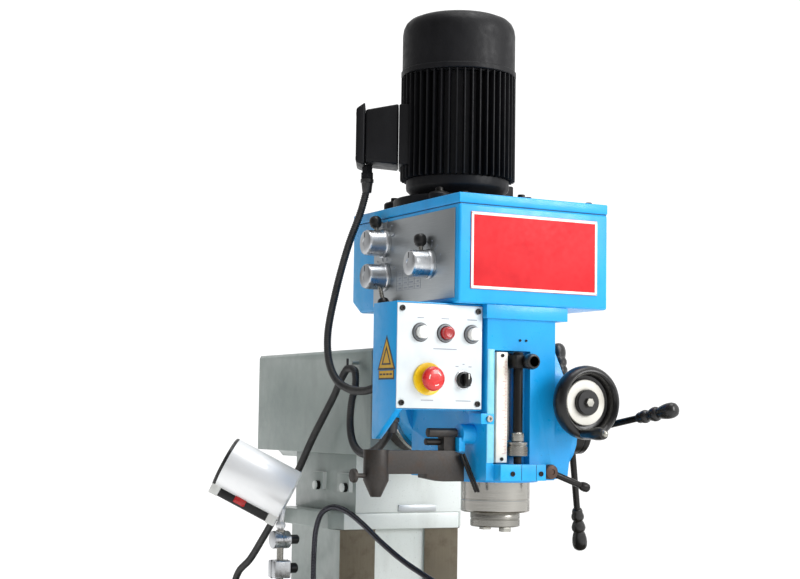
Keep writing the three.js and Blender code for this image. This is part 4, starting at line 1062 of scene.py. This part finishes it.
# %% Stop head, collar and turn switch
uy0 = span("stop_collar", "y")[0]
collar = lathe("y", *STOP_SPOT, [
    (27.6, cy0 - 2.7), (27.6, uy0 + 0.8), (26.8, uy0), (14, uy0), (12.6, uy0 + 0.8), (12.4, cy0 - 3),
], 72)
cut_away(collar, lathe("y", *STOP_SPOT, [(11, cy0 - 12), (11, cy0 + 9)], 48))
finish_piece(collar, "stop_collar_disc", "head", YELLOW, ["stop_collar"])
my0, my1 = span("emergency_stop", "y")
mushroom = lathe("y", *STOP_SPOT, [
    (10, my1), (10, my0 + 19), (12, my0 + 18), (17, my0 + 15.6), (20.6, my0 + 11), (21, my0 + 8),
    (20.4, my0 + 5), (18, my0 + 2.2), (14, my0 + 0.7), (8, my0 + 0.15), (0.6, my0),
], 72)
finish_piece(mushroom, "stop_head", "emergency_stop", RED, ["emergency_stop"])
arrows = []
for turn in range(3):
    angle = math.radians(30 + 120 * turn)
    for step in range(5):
        a = angle + step * 0.13
        x, z = STOP_SPOT[0] + 11.5 * math.cos(a), STOP_SPOT[1] + 11.5 * math.sin(a)
        arrows.append(lathe("y", x, z, [(0.9, my0 + 1.6), (0.9, my0 + 0.1)], 8))
finish_piece(joined(*arrows), "stop_head_marks", "emergency_stop", PALE_INK)
bezel = lathe("y", *SWITCH_SPOT, [
    (14.5, cy0 - 2.7), (14.5, cy0 - 7), (13.4, cy0 - 9), (11.5, cy0 - 9.4), (11.2, cy0 - 8), (1, cy0 - 8),
], 48)
handle = slab(SWITCH_SPOT[0] - 4, SWITCH_SPOT[0] + 4, cy0 - 22, cy0 - 8.5, 1331.5, 1354.5, 2, 3)
switch = joined(handle, bezel)
switch_ring = lathe("y", *SWITCH_SPOT, [
    (17, cy0 - 2.65), (17, cy0 - 3.6), (16.2, cy0 - 4.4), (14.6, cy0 - 4.4),
], 48)
finish_piece(switch_ring, "turn_switch_ring", "head", ALUMINIUM)
finish_piece(switch, "turn_switch", "selector", PHENOLIC, ["selector_switch"])
line = slab(SWITCH_SPOT[0] - 0.8, SWITCH_SPOT[0] + 0.8, cy0 - 22.3, cy0 - 18, 1344, 1353.5, 0.2)
finish_piece(line, "turn_switch_line", "selector", PALE_INK)
print("stop head and switch done")

# %% Captions as plain bars, triangle and strip
captions = []
for x, z, width in (
    (-208, 1446, 13), (-160, 1446, 16), (-107, 1446, 19), (-160, 1394, 46), (-194, 1306, 24),
    (-123, 1306, 30), (-136, 1365, 6), (-110, 1365, 6), (-123, 1369, 4),
):
    captions.append(slab(x - width / 2, x + width / 2, cy0 - 2.75, cy0 - 2.3, z, z + 1.6))
finish_piece(joined(*captions), "panel_captions", "head", CAPTION)
triangle = sawn(
    [(-372 * MM, 1361 * MM), (-319 * MM, 1361 * MM), (-345.5 * MM, 1410 * MM)],
    (cx0 - 0.7) * MM, (cx0 + 0.3) * MM, "x",
)
strip = slab(cx0 - 0.7, cx0 + 0.3, -371, -320, 1344, 1356)
finish_piece(joined(triangle, strip), "side_labels", "head", OCHRE)
backing = sawn(
    [(-378 * MM, 1357.5 * MM), (-313 * MM, 1357.5 * MM), (-345.5 * MM, 1417 * MM)],
    (cx0 - 0.45) * MM, (cx0 + 0.3) * MM, "x",
)
under = slab(cx0 - 0.45, cx0 + 0.3, -374, -317, 1341, 1356.5)
finish_piece(joined(backing, under), "side_label_backing", "head", INK)
inner = sawn(
    [(-363 * MM, 1366 * MM), (-328 * MM, 1366 * MM), (-345.5 * MM, 1399 * MM)],
    (cx0 - 0.9) * MM, cx0 * MM, "x",
)
hollow = sawn(
    [(-357.5 * MM, 1369 * MM), (-333.5 * MM, 1369 * MM), (-345.5 * MM, 1392 * MM)],
    (cx0 - 3) * MM, (cx0 + 3) * MM, "x",
)
cut_away(inner, hollow)
stripes = [slab(cx0 - 0.9, cx0, y, y + 9, 1348.5, 1351.5) for y in (-367, -355, -343, -331)]
finish_piece(joined(inner, *stripes), "side_label_print", "head", INK)
print("labels without words done")

# %% [markdown]
# ## Head casting
# The head is one big casting: a front block with the quill bore, a curved housing on the right for the feed
# worm, and a neck back to the swivel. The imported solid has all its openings, so a copy of it is given rounded
# edges. The strip beside the depth scale is left as cast, and its hammered paint is lighter.

# %% Head body
head_casting = cut_from_node("head_body", 2.6, 3)
finish_piece(head_casting, "head_casting", "head", BLUE, ["head_body"])
hx0, hx1 = span("depth_scale", "x")
hy0, hy1 = span("depth_scale", "y")
hz0, hz1 = span("depth_scale", "z")
HEAD_FRONT_Y = -390
rough_strip = slab(-79.6, hx0 - 3.4, HEAD_FRONT_Y - 1.4, HEAD_FRONT_Y + 6, 1201, 1398, 1.2, 2)
finish_piece(rough_strip, "as_cast_strip", "head", LIGHT_BLUE)
for index, (x, z) in enumerate(((-13.6, 1414.5), (-1, 1414.5), (18, 1183), (-40, 1183))):
    y = HEAD_FRONT_Y if z > 1300 else HEAD_FRONT_Y - 22
    screw = socket_screw(Vector((x, y, z)) * MM, "-y", (2.2 if z > 1300 else 4.4) * MM, 2 * MM)
    finish_piece(screw, f"head_screw_{index}", "head", BLACKENED)
boss_screw = socket_screw(Vector((-76, -392, 1277)) * MM, "-y", 6 * MM, 4 * MM)
finish_piece(boss_screw, "boss_screw", "head", SCREW_STEEL)
joints = [slab(x, x + 0.9, HEAD_FRONT_Y - 22.2, HEAD_FRONT_Y - 20, 1172, 1198) for x in (-22, 8)]
finish_piece(joined(*joints), "front_block_joints", "head", BLACKENED)
print("head casting", len(head_casting.data.polygons), "faces")

# %% Depth scale with graduations and screws
scale_plate = slab(hx0, hx1, hy0, hy1, hz0, hz1, 0.8, 2)
finish_piece(scale_plate, "depth_scale_plate", "head", SCALE_WHITE, ["depth_scale"])
marks = []
count = int((hz1 - hz0 - 30) / 2.5)
for index in range(count + 1):
    z = hz0 + 15 + index * 2.5
    width = 9 if index % 10 == 0 else (6 if index % 5 == 0 else 4)
    marks.append(slab(hx1 - 1.5 - width, hx1 - 1.5, hy0 - 0.15, hy0 + 0.3, z, z + 0.5))
finish_piece(joined(*marks), "depth_scale_marks", "head", RED_INK)
for index, z in enumerate((hz0 + 6, hz1 - 6)):
    screw = socket_screw(Vector(((hx0 + hx1) / 2, hy0, z)) * MM, "-y", 3.2 * MM, 2 * MM)
    finish_piece(screw, f"scale_screw_{index}", "head", BLACKENED)
print("scale marks", count + 1)

# %% Depth rod, nut and the quill's stop knob
rz0, rz1 = span("depth_stop_rod", "z")
ROD_X, ROD_Y = -18, -392
rod_piece = lathe("z", ROD_X, ROD_Y, [
    (6, rz0), (7, rz0 + 1), (7, rz0 + 12), (10.2, rz0 + 13.6), (11, rz0 + 14.4), (11, rz0 + 53),
    (9.6, rz0 + 54.6), (8.5, rz0 + 56), (8.5, rz1 - 1.2), (7.2, rz1),
], 40)
finish_piece(rod_piece, "depth_rod", "head", BLACKENED, ["depth_stop_rod"])
sleeve = lathe("z", ROD_X, ROD_Y, [
    (11.15, rz0 + 39.5), (11.25, rz0 + 40), (11.25, rz0 + 53), (10, rz0 + 54.4),
], 40)
finish_piece(sleeve, "depth_rod_sleeve", "head", STEEL)
nz0, nz1 = span("stop_nut", "z")
nut = lathe("z", ROD_X, ROD_Y, [
    (11.3, nz0), (16, nz0), (17.2, nz0 + 1), (17.2, nz1 - 8), (16.2, nz1 - 7), (16.2, nz1 - 6),
    (17.2, nz1 - 5), (17.2, nz1 - 1), (16, nz1), (11.3, nz1),
], 64)
KNURL_COUNT = 48
knurl = slab(16.6, 17.9, -0.45, 0.45, nz0 + 1.5, nz1 - 8.5)
ridges = [nut, *ring_of_copies(knurl, ROD_X, ROD_Y, KNURL_COUNT)]
finish_piece(joined(*reversed(ridges)), "knurled_stop_nut", "head", STEEL, ["stop_nut"])
ky0 = span("quill_stop_knob", "y")[0]
stop_block = cut_from_node("quill_stop_knob", 1.4, 2)
finish_piece(stop_block, "quill_stop_block", "quill", BLACKENED, ["quill_stop_knob"])
stop_grip = lathe("y", -10, 1377, [
    (9, ky0), (12, ky0 + 1), (13.3, ky0 + 4), (14, ky0 + 9), (13.6, ky0 + 15),
    (10.5, ky0 + 19.6), (6, ky0 + 20.5),
], 48)
finish_piece(stop_grip, "quill_stop_grip", "quill", PHENOLIC)
print("depth stop done")

# %% [markdown]
# ## Dressing the cords
# The conduits get black rubber and the coolant hose gets dark flexible metal. The head conduit crosses the
# joint on which the head tilts, and the column conduit runs from the column to the ram, so neither rides on a
# body. Each conduit leaves its housing through a tapered strain relief.

# %% Strain reliefs, materials and bodies
HOSE_METAL = metal("flexible_hose_metal", srgb(84, 84, 90), srgb(40, 40, 46), 0.2, metallic=1.0)


def finish_cord(piece, name, node, material):
    """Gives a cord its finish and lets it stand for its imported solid."""
    pick(piece)
    bpy.ops.object.shade_smooth()
    piece.name = name
    piece.data.materials.append(material)
    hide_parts(node)


def strain_relief(name, body, route, start, radius):
    """A tapered sleeve along the first centimetres of a cord."""
    ahead = (Vector(route[1]) - Vector(route[0])) if start else (Vector(route[-2]) - Vector(route[-1]))
    at = Vector(route[0] if start else route[-1]) * MM
    relief = turned([(r * MM, h * MM) for r, h in (
        (radius + 4.6, 0.4), (radius + 5, 1.5), (radius + 5, 7), (radius + 3.2, 8.5),
        (radius + 2.6, 14), (radius + 1.2, 26), (radius + 0.5, 27),
    )], sides=28)
    aimed(relief, at, ahead)
    finish_piece(relief, name, body, RUBBER)


finish_cord(motor_conduit, "motor_cable", "motor_conduit", RUBBER)
finish_cord(head_conduit, "head_cable", "head_conduit", RUBBER)
finish_cord(column_conduit, "column_cable", "column_conduit", RUBBER)
finish_cord(coolant_hose, "coolant_pipe", "coolant_hose", HOSE_METAL)
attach(motor_conduit, "head")
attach(coolant_hose, "frame")
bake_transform(head_conduit)
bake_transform(column_conduit)
finish_piece(nozzle, "coolant_nozzle", "frame", BRASS)
strain_relief("motor_cable_relief", "head", [(-151.8, -59.1, 1730), (-151.8, -59.1, 1700)], True, 7.6)
strain_relief("head_cable_relief", "head", [(-222, -310, 1277), (-222, -309, 1250)], True, 7.6)
strain_relief("column_cable_relief", "frame", [(-148, 568, 880.5), (-148, 568, 900)], True, 7.6)
print("cords dressed")

# %% [markdown]
# ## Quill and spindle
# The quill is a ground and polished sleeve, so it mirrors its surroundings in long upright streaks. Below it
# the spindle nose has a step, a ground ring and two drive keys that are screwed into slots. Both are turned,
# and the taper is cut out of the nose with a cone, because a tool has to go in there.

# %% Quill
qly0, qly1 = span("quill", "y")
qlz0, qlz1 = span("quill", "z")
SPINDLE_Y = (qly0 + qly1) / 2
quill = lathe("z", 0, SPINDLE_Y, [
    (59, qlz0), (60.6, qlz0 + 0.8), (62, qlz0 + 3), (62, qlz0 + 21), (61.4, qlz0 + 21.6),
    (61.4, qlz0 + 23), (62, qlz0 + 23.6), (62, qlz1 - 1), (61, qlz1),
], 128)
bore = lathe("z", 0, SPINDLE_Y, [(30, qlz0 - 5), (30, qlz1 + 5)], 64)
cut_away(quill, bore)
finish_piece(quill, "quill_sleeve", "quill", BRIGHT, ["quill"])
print("quill", round(qlz1 - qlz0), "mm long")

# %% Spindle nose
noz0, noz1 = span("spindle", "z")
NOSE_Z = noz0 + 8
spindle = lathe("z", 0, SPINDLE_Y, [
    (42.6, NOSE_Z), (44.5, NOSE_Z + 1.6), (44.5, NOSE_Z + 12), (43.6, NOSE_Z + 12.8),
    (43.6, NOSE_Z + 14), (44.5, NOSE_Z + 14.8), (44.5, qlz0 - 2), (43.5, qlz0 - 0.4),
    (28.4, qlz0 - 0.35), (28.4, noz1 - 1), (27.4, noz1),
], 96)
taper = lathe("z", 0, SPINDLE_Y, [(22.4, NOSE_Z - 2), (22.2, NOSE_Z - 1), (12.5, 1160)], 64)
cut_away(spindle, taper)
finish_piece(spindle, "spindle_nose", "spindle", STEEL, ["spindle"])
for index, side in enumerate((-1, 1)):
    y = SPINDLE_Y + side * 34
    key = slab(-8, 8, y - 8, y + 8, noz0, NOSE_Z + 1.5, 1, 2)
    dimple = lathe("z", 0, y, [(3.6, noz0 - 2), (3.6, noz0 + 3)], 20)
    cut_away(key, dimple)
    finish_piece(key, f"drive_key_{index}", "spindle", SCREW_STEEL)
print("spindle done")

# %% [markdown]
# ## Feed levers and fine-feed wheel
# Three levers turn the quill feed. Their black grips have a waist and steps, like stacked beads, and are
# turned in one piece. The fine-feed wheel is a moulded wheel with a fat rim and a deep face, a pale dial in
# the face, and a crank handle with a bright end.

# %% Hub and levers
FEED_Y, FEED_Z, FEED_X = -323, 1252, 140
feed_hub = lathe("x", FEED_Y, FEED_Z, [
    (16, 81), (16, 112.5), (33, 112.5), (34.6, 113.4), (36, 118), (36, 146), (35, 147),
    (35, 149), (36, 150), (36, 159), (33, 162.5), (26, 166), (15, 168), (14, 166.4), (1, 166.4),
], 72)
finish_piece(feed_hub, "feed_hub_body", "quill_feed", BLACKENED, ["feed_hub"])
for index in range(3):
    a = 2.303 - index * 2 * math.pi / 3
    flat = math.cos(0.3)
    aim = Vector((math.sin(0.3), -flat * math.cos(a), flat * math.sin(a)))
    start = Vector((FEED_X, FEED_Y, FEED_Z)) + aim * 43
    L = 236 - 43
    stem = rod(start - aim * 9, start + aim * (L - 78), 6)
    finish_piece(stem, f"lever_stem_{index}", "quill_feed", BLACKENED)
    grip = turned([(r * MM, h * MM) for r, h in (
        (6.4, L - 84), (8.4, L - 83), (10, L - 79), (9.6, L - 76), (11.2, L - 72), (12, L - 67),
        (11, L - 63), (8.6, L - 60.5), (8.6, L - 58.5), (10.8, L - 54), (12.8, L - 48),
        (13, L - 44), (12, L - 40.5), (9.6, L - 38.5), (9.6, L - 36.5), (11.8, L - 31),
        (13.6, L - 22), (14, L - 15), (13.4, L - 8), (11.6, L - 3.4), (8.6, L - 0.8), (4, L),
    )], sides=48)
    aimed(grip, start * MM, aim)
    finish_piece(grip, f"lever_grip_{index}", "quill_feed", PHENOLIC,
                 [f"feed_lever_{index + 1}"])
print("feed levers 3")

# %% Fine-feed wheel
WHEEL_X, WHEEL_Z = 94, 1308
wheel = lathe("y", WHEEL_X, WHEEL_Z, [
    (20, -388.5), (20, -404), (24, -417), (30, -418.6), (50, -419), (57, -421.4), (62, -426.6),
    (64.6, -433.4), (65, -439), (64, -445.6), (61.4, -451.4), (57.4, -455.2), (54.4, -455.6),
    (51.4, -453), (49.6, -448), (48.4, -440), (47.4, -434), (44, -432), (23, -432),
    (22.6, -444), (21.4, -446), (10, -446),
], 96)
bolt_face = lathe("y", WHEEL_X, WHEEL_Z, [(8.6, -445), (8.6, -450.4), (7.6, -451.8), (1, -452)], 6)
finish_piece(wheel, "feed_wheel", "fine_feed", PHENOLIC, ["fine_feed_wheel"], 40)
finish_piece(bolt_face, "feed_wheel_bolt", "fine_feed", SCREW_STEEL)
dial = lathe("y", WHEEL_X, WHEEL_Z, [
    (23.4, -432.3), (40, -432.3), (40, -436), (39, -437), (24.4, -437), (23.4, -436),
], 96)
finish_piece(dial, "feed_dial", "fine_feed", SCALE_WHITE, ["wheel_dial"])
crank = lathe("y", WHEEL_X - 20, WHEEL_Z - 54, [
    (5, -457.4), (7, -457.6), (8.6, -463), (8.4, -470), (9.6, -482), (11, -498), (11, -508),
    (10, -516), (9, -520), (6.4, -521.5),
], 48)
finish_piece(crank, "crank_grip", "fine_feed", PHENOLIC, ["crank_handle"])
crank_end = lathe("y", WHEEL_X - 20, WHEEL_Z - 54, [
    (5.6, -519), (5.6, -524.6), (4.6, -526.6), (2.8, -527.8), (0.6, -528),
], 32)
finish_piece(crank_end, "crank_grip_end", "fine_feed", SCREW_STEEL)
print("fine-feed wheel done")

# %% Quill lock
RUSTED = metal(
    "rusted_steel", srgb(84, 64, 54), srgb(54, 40, 34), 0.5, stain=srgb(70, 42, 28), metallic=0.5,
)
LOCK_X, LOCK_Z = 47, 1186
lock_hub = lathe("y", LOCK_X, LOCK_Z, [
    (8, -352.4), (8, -384.4), (13, -384.4), (13, -400), (12, -403), (9.6, -404), (5, -404.6),
    (4.4, -403), (1, -403),
], 40)
finish_piece(lock_hub, "lock_boss", "quill_lock", RUSTED, ["quill_lock"])
lock_rod = rod((LOCK_X + 4, -397, LOCK_Z - 2), (LOCK_X + 73, -397, LOCK_Z - 27), 5.6, 0.8)
lock_knob = turned([(r * MM, h * MM) for r, h in (
    (5.8, 0), (7, 2), (8.2, 6), (8.4, 12), (7.4, 17), (5, 19.4), (2, 20),
)], sides=32)
aimed(lock_knob, Vector((LOCK_X + 63, -397, LOCK_Z - 23.5)) * MM, (78, 0, -26))
finish_piece(joined(lock_knob, lock_rod), "lock_lever", "quill_lock", BLACKENED)
print("quill lock done")

# %% [markdown]
# ## Swivel and ram
# The head turns on a round flange at the front of the ram. Its ring has a graduated bright rim. The ram is a
# long box with planed sides that slides in a seat on the column; its grey is the off-white paint darkened as
# painted shade. Copies of the imported solids get rounded edges here, since a casting of this kind is a plain
# block that is machined on a few faces.

# %% Swivel flange and degree ring
wy0, wy1 = span("swivel_flange", "y")
wz0, wz1 = span("swivel_flange", "z")
SWIVEL_Z = (wz0 + wz1) / 2
swivel = lathe("y", 0, SWIVEL_Z, [
    (101, wy0), (104, wy0 + 2), (104, wy1 - 13), (102, wy1 - 11), (91, wy1 - 1), (88, wy1),
], 128)
finish_piece(swivel, "swivel_disc", "ram", RAW_IRON, ["swivel_flange"])
ey0, ey1 = span("degree_ring", "y")
degree = lathe("y", 0, SWIVEL_Z, [
    (60, ey1), (102.6, ey1), (104, ey1 - 1), (104, ey0 + 1), (102.6, ey0), (60, ey0),
], 128)
middle = lathe("y", 0, SWIVEL_Z, [(59.9, ey0 - 5), (59.9, ey1 + 5)], 96)
cut_away(degree, middle)
finish_piece(degree, "degree_scale_ring", "head", BRIGHT, ["degree_ring"])
marks = []
for step in range(-60, 61, 3):
    for base in (0, 180):
        angle = math.radians(base + step)
        c, s = math.cos(angle), math.sin(angle)
        deep = 12 if step % 15 == 0 else 7
        marks.append(rod(
            (103.9 * c, ey1 - 0.6, SWIVEL_Z + 103.9 * s),
            (103.9 * c, ey1 - deep, SWIVEL_Z + 103.9 * s), 0.35, sides=5,
        ))
finish_piece(joined(*marks), "degree_marks", "head", INK)
print("swivel done")

# %% Ram, seat, column, bracket and cabinet
for node, name, body, slot_name, material, width in (
    ("ram", "ram_casting", "ram", "grey_paint", PAINTED_SHADE_GREY, 2.2),
    ("ram_seat", "ram_seat_casting", "frame", "white_paint", OFF_WHITE, 1.6),
    ("column", "column_casting", "frame", "grey_paint", PAINTED_SHADE_GREY, 2.2),
    ("base", "base_casting", "frame", "grey_paint", PAINTED_SHADE_GREY, 4),
    ("cabinet", "cabinet_body", "frame", "grey_paint", PAINTED_SHADE_GREY, 2.5),
    ("knee", "knee_casting", "knee", "grey_paint", PAINTED_SHADE_GREY, 2.5),
    ("saddle", "saddle_casting", "saddle", "grey_paint", PAINTED_SHADE_GREY, 2),
    ("table", "table_casting", "table", "cast_iron", GROUND_IRON, 0.7),
    ("side_bracket", "side_bracket_casting", "frame", "grey_paint", PAINTED_SHADE_GREY, 1),
    ("knee_crank", "knee_crank_bar", "knee_crank", "dark_steel", BLACKENED, 1.2),
    ("bracket_arm", "bracket_arm_casting", "head", "cast_iron", RAW_IRON, 1.6),
    ("saddle_handwheel", "saddle_wheel", "saddle_drive", "dark_steel", BLACKENED, 1.6),
    ("table_handwheel_left", "table_wheel_left", "table_drive", "dark_steel", BLACKENED, 1.6),
    ("table_handwheel_right", "table_wheel_right", "table_drive", "dark_steel", BLACKENED, 1.6),
    ("table_screw", "table_feed_screw", "table_drive", "steel", STEEL, 1),
    ("elevating_screw", "elevating_screw_bar", "frame", "steel", STEEL, 1),
):
    dressed = cut_from_node(node, width, 3 if width > 2 else 2)
    finish_piece(dressed, name, body, material, [node])
column_casting = PIECES["column_casting"]
pick(column_casting)
bpy.ops.object.mode_set(mode="EDIT")
for place, facing in (
    ((-54, 0, 0), (1, 0, 0)), ((54, 0, 0), (1, 0, 0)), ((0, 0, 1058), (0, 0, 1)),
    ((0, 0, 170), (0, 0, 1)),
):
    bpy.ops.mesh.select_all(action="SELECT")
    bpy.ops.mesh.bisect(plane_co=Vector(place) * MM, plane_no=facing)
bpy.ops.object.mode_set(mode="OBJECT")
column_casting.data.materials.append(GROUND_IRON)
column_casting.data.materials.append(OFF_WHITE)
# Front-facing faces of the column get the off-white paint, and its other faces keep the grey enamel, which is
# painted shade.
for face in column_casting.data.polygons:
    x, y, z = (v / MM for v in face.center)
    across = 54 < abs(x) < 134
    if y < 71.5 and 170 < z < 1058 and face.normal.z ** 2 < 0.5 and across:
        face.material_index = 1
    elif face.normal.y < -0.7 and y < 130 and z > 170:
        face.material_index = 2
seat_casting = PIECES["ram_seat_casting"]
seat_casting.data.materials.append(PAINTED_SHADE_GREY)
# The seat's left faces, turned away from the light, get the grey enamel: painted shade.
for face in seat_casting.data.polygons:
    if face.normal.x < -0.7 and face.center.x / MM > -118:
        face.material_index = 1
print("castings dressed")

# %% Seat screws, plate and cable tie
for index, y in enumerate((88, 214)):
    screw = socket_screw(Vector((-113, y, 1139)) * MM, "-x", 9.3 * MM, 8 * MM)
    finish_piece(screw, f"seat_screw_{index}", "frame", BLACKENED)
name_strip = slab(-10, 75, 59.6, 61.4, 1092, 1105, 0.4)
finish_piece(name_strip, "seat_plate", "frame", SATIN)
tie = rod((-136, 44, 1376), (-136, 44, 1391), 2.4, 0.6)
finish_piece(tie, "cable_tie", "ram", RUBBER)
ox0, ox1 = span("cabinet", "x")
oy1 = span("cabinet", "y")[1]
oz0, oz1 = span("cabinet", "z")
door = slab(ox0 + 14, ox1 - 14, oy1 - 1, oy1 + 2.5, oz0 + 14, oz1 - 14, 1.2)
finish_piece(door, "cabinet_door", "frame", PAINTED_SHADE_GREY)
hinges = [
    rod((ox0 + 13, oy1 + 1, z), (ox0 + 13, oy1 + 1, z + 46), 3.4, 0.8)
    for z in (oz0 + 50, oz1 - 96)
]
finish_piece(joined(*hinges), "cabinet_hinges", "frame", SCREW_STEEL)
door_lock = lathe("y", ox1 - 30, (oz0 + oz1) / 2, [
    (9, oy1 + 2), (11, oy1 + 2.6), (11, oy1 + 5), (9.4, oy1 + 6.4), (2, oy1 + 6.4),
], 32)
finish_piece(door_lock, "cabinet_lock", "frame", PHENOLIC)
print("seat and cabinet details done")

# %% [markdown]
# ## Work lamp
# The lamp stands on the side bracket: a stem in a clamp, a hub with a tightener, and a ball joint that
# carries the shade. The shade is a spun metal drum with a black tray along its under side for the switch. It
# is turned and boxed upright first, then laid along its own axis.

# %% Lamp arm
LAMP_X, LAMP_Y = -244, 105
arm_lower = lathe("z", LAMP_X, LAMP_Y, [(6, 929.8), (7, 931), (7, 974), (6, 975)], 32)
arm_stem = lathe("z", LAMP_X, LAMP_Y, [(6.5, 996), (6.5, 1030)], 32)
finish_piece(joined(arm_stem, arm_lower), "lamp_stem", "lamp_arm", STEEL, ["lamp_arm"])
arm_clamp = slab(-262, -227, 89, 121, 966, 1000, 3, 3)
finish_piece(arm_clamp, "lamp_clamp", "lamp_arm", ALUMINIUM)
clamp_split = slab(-262.4, -226.6, 104.4, 105.6, 965.6, 1000.4)
finish_piece(clamp_split, "lamp_clamp_split", "lamp_arm", INK)
clamp_knob = lathe("x", LAMP_Y, 984, [
    (4, -229), (4, -225.6), (8, -225), (10, -223), (10, -211), (8, -208.6), (3, -208),
], 32)
finish_piece(clamp_knob, "lamp_clamp_knob", "lamp_arm", PHENOLIC)
arm_hub = lathe("x", LAMP_Y, 1039, [
    (14, -262), (16.6, -261), (17, -259), (17, -245), (15.6, -244.6), (15.6, -243.4), (17, -243),
    (17, -229), (16, -227), (12, -226),
], 64)
finish_piece(arm_hub, "lamp_joint_hub", "lamp_arm", ALUMINIUM)
arm_knob = lathe("x", LAMP_Y, 1039, [
    (5, -227), (8, -224), (9, -221), (9, -209), (7, -206.6), (3, -206),
], 32)
finish_piece(arm_knob, "lamp_joint_knob", "lamp_arm", PHENOLIC)
print("lamp arm done")

# %% Lamp head
LAMP_ALONG = Vector((0.787, -0.418, -0.454)).normalized()
LAMP_UP = Vector((0.401, -0.213, 0.891))
LAMP_UP = (LAMP_UP - LAMP_ALONG * LAMP_UP.dot(LAMP_ALONG)).normalized()
LAMP_TURN = Matrix((LAMP_UP.cross(LAMP_ALONG), LAMP_UP, LAMP_ALONG)).transposed().to_4x4()
LAMP_PLACE = Matrix.Translation(Vector((-286, 127, 1154)) * MM) @ LAMP_TURN


def laid_in_lamp(piece):
    """Lays a piece drawn round the Z axis along the lamp's axis."""
    piece.matrix_world = LAMP_PLACE
    return settle(piece)


shade = laid_in_lamp(lathe("z", 0, 0, [
    (46, 64), (47, 70), (49, 72), (50.6, 71.4), (52, 68), (52, -64), (51, -66), (50, -66.6), (20, -66.6),
], 96))
finish_piece(shade, "lamp_shade", "lamp_head", CHROME, ["lamp_head"])
cap_ring = laid_in_lamp(lathe("z", 0, 0, [
    (51.4, -65.6), (52.2, -66.6), (52.2, -70.4), (50, -72), (44, -72), (42, -71), (12, -71),
], 96))
finish_piece(cap_ring, "lamp_end_ring", "lamp_head", PHENOLIC)
tray = laid_in_lamp(slab(-26, 26, -62, -40, -70, 71, 4, 3))
finish_piece(tray, "lamp_tray", "lamp_head", PHENOLIC)
rocker = laid_in_lamp(slab(-28, -25, -57.5, -44.5, -20, 4, 1.2, 2))
finish_piece(rocker, "lamp_rocker", "lamp_head", RED)
ends = [slab(-28.4, -12, -63, -41, z, z + 19, 1.6, 2) for z in (-71, 52)]
finish_piece(laid_in_lamp(joined(*ends)), "lamp_tray_ends", "lamp_head", WHITE)
ball = lathe("z", LAMP_X, LAMP_Y, [
    (9.5 * math.sin(math.pi * k / 16), 1066.5 - 9.5 * math.cos(math.pi * k / 16)) for k in range(1, 16)
], 32)
lamp_lug = rod((-241, 103, 1098), (LAMP_X, LAMP_Y, 1070), 5.8, 0.6)
finish_piece(joined(lamp_lug, ball), "lamp_ball", "lamp_head", CHROME)
socket_cup = lathe("z", LAMP_X, LAMP_Y, [(6.6, 1029), (9, 1032), (9, 1057), (7, 1058)], 32)
finish_piece(socket_cup, "lamp_ball_cup", "lamp_arm", STEEL)
print("lamp head done")

# %% [markdown]
# ## Small parts of the bracket
# A thin pair of dark rods hangs slanting in front of the bracket. They are plain drawn wire, and struts with
# their ends slightly rounded are enough for them.

# %% Hanging rods
guides = [rod((x, -354.4, 1216), (x + 31, -354.4, 1150), 2.4, 0.4) for x in (-110, -104)]
finish_piece(joined(*guides), "guide_rods", "head", BLACKENED)
print("bracket details done")
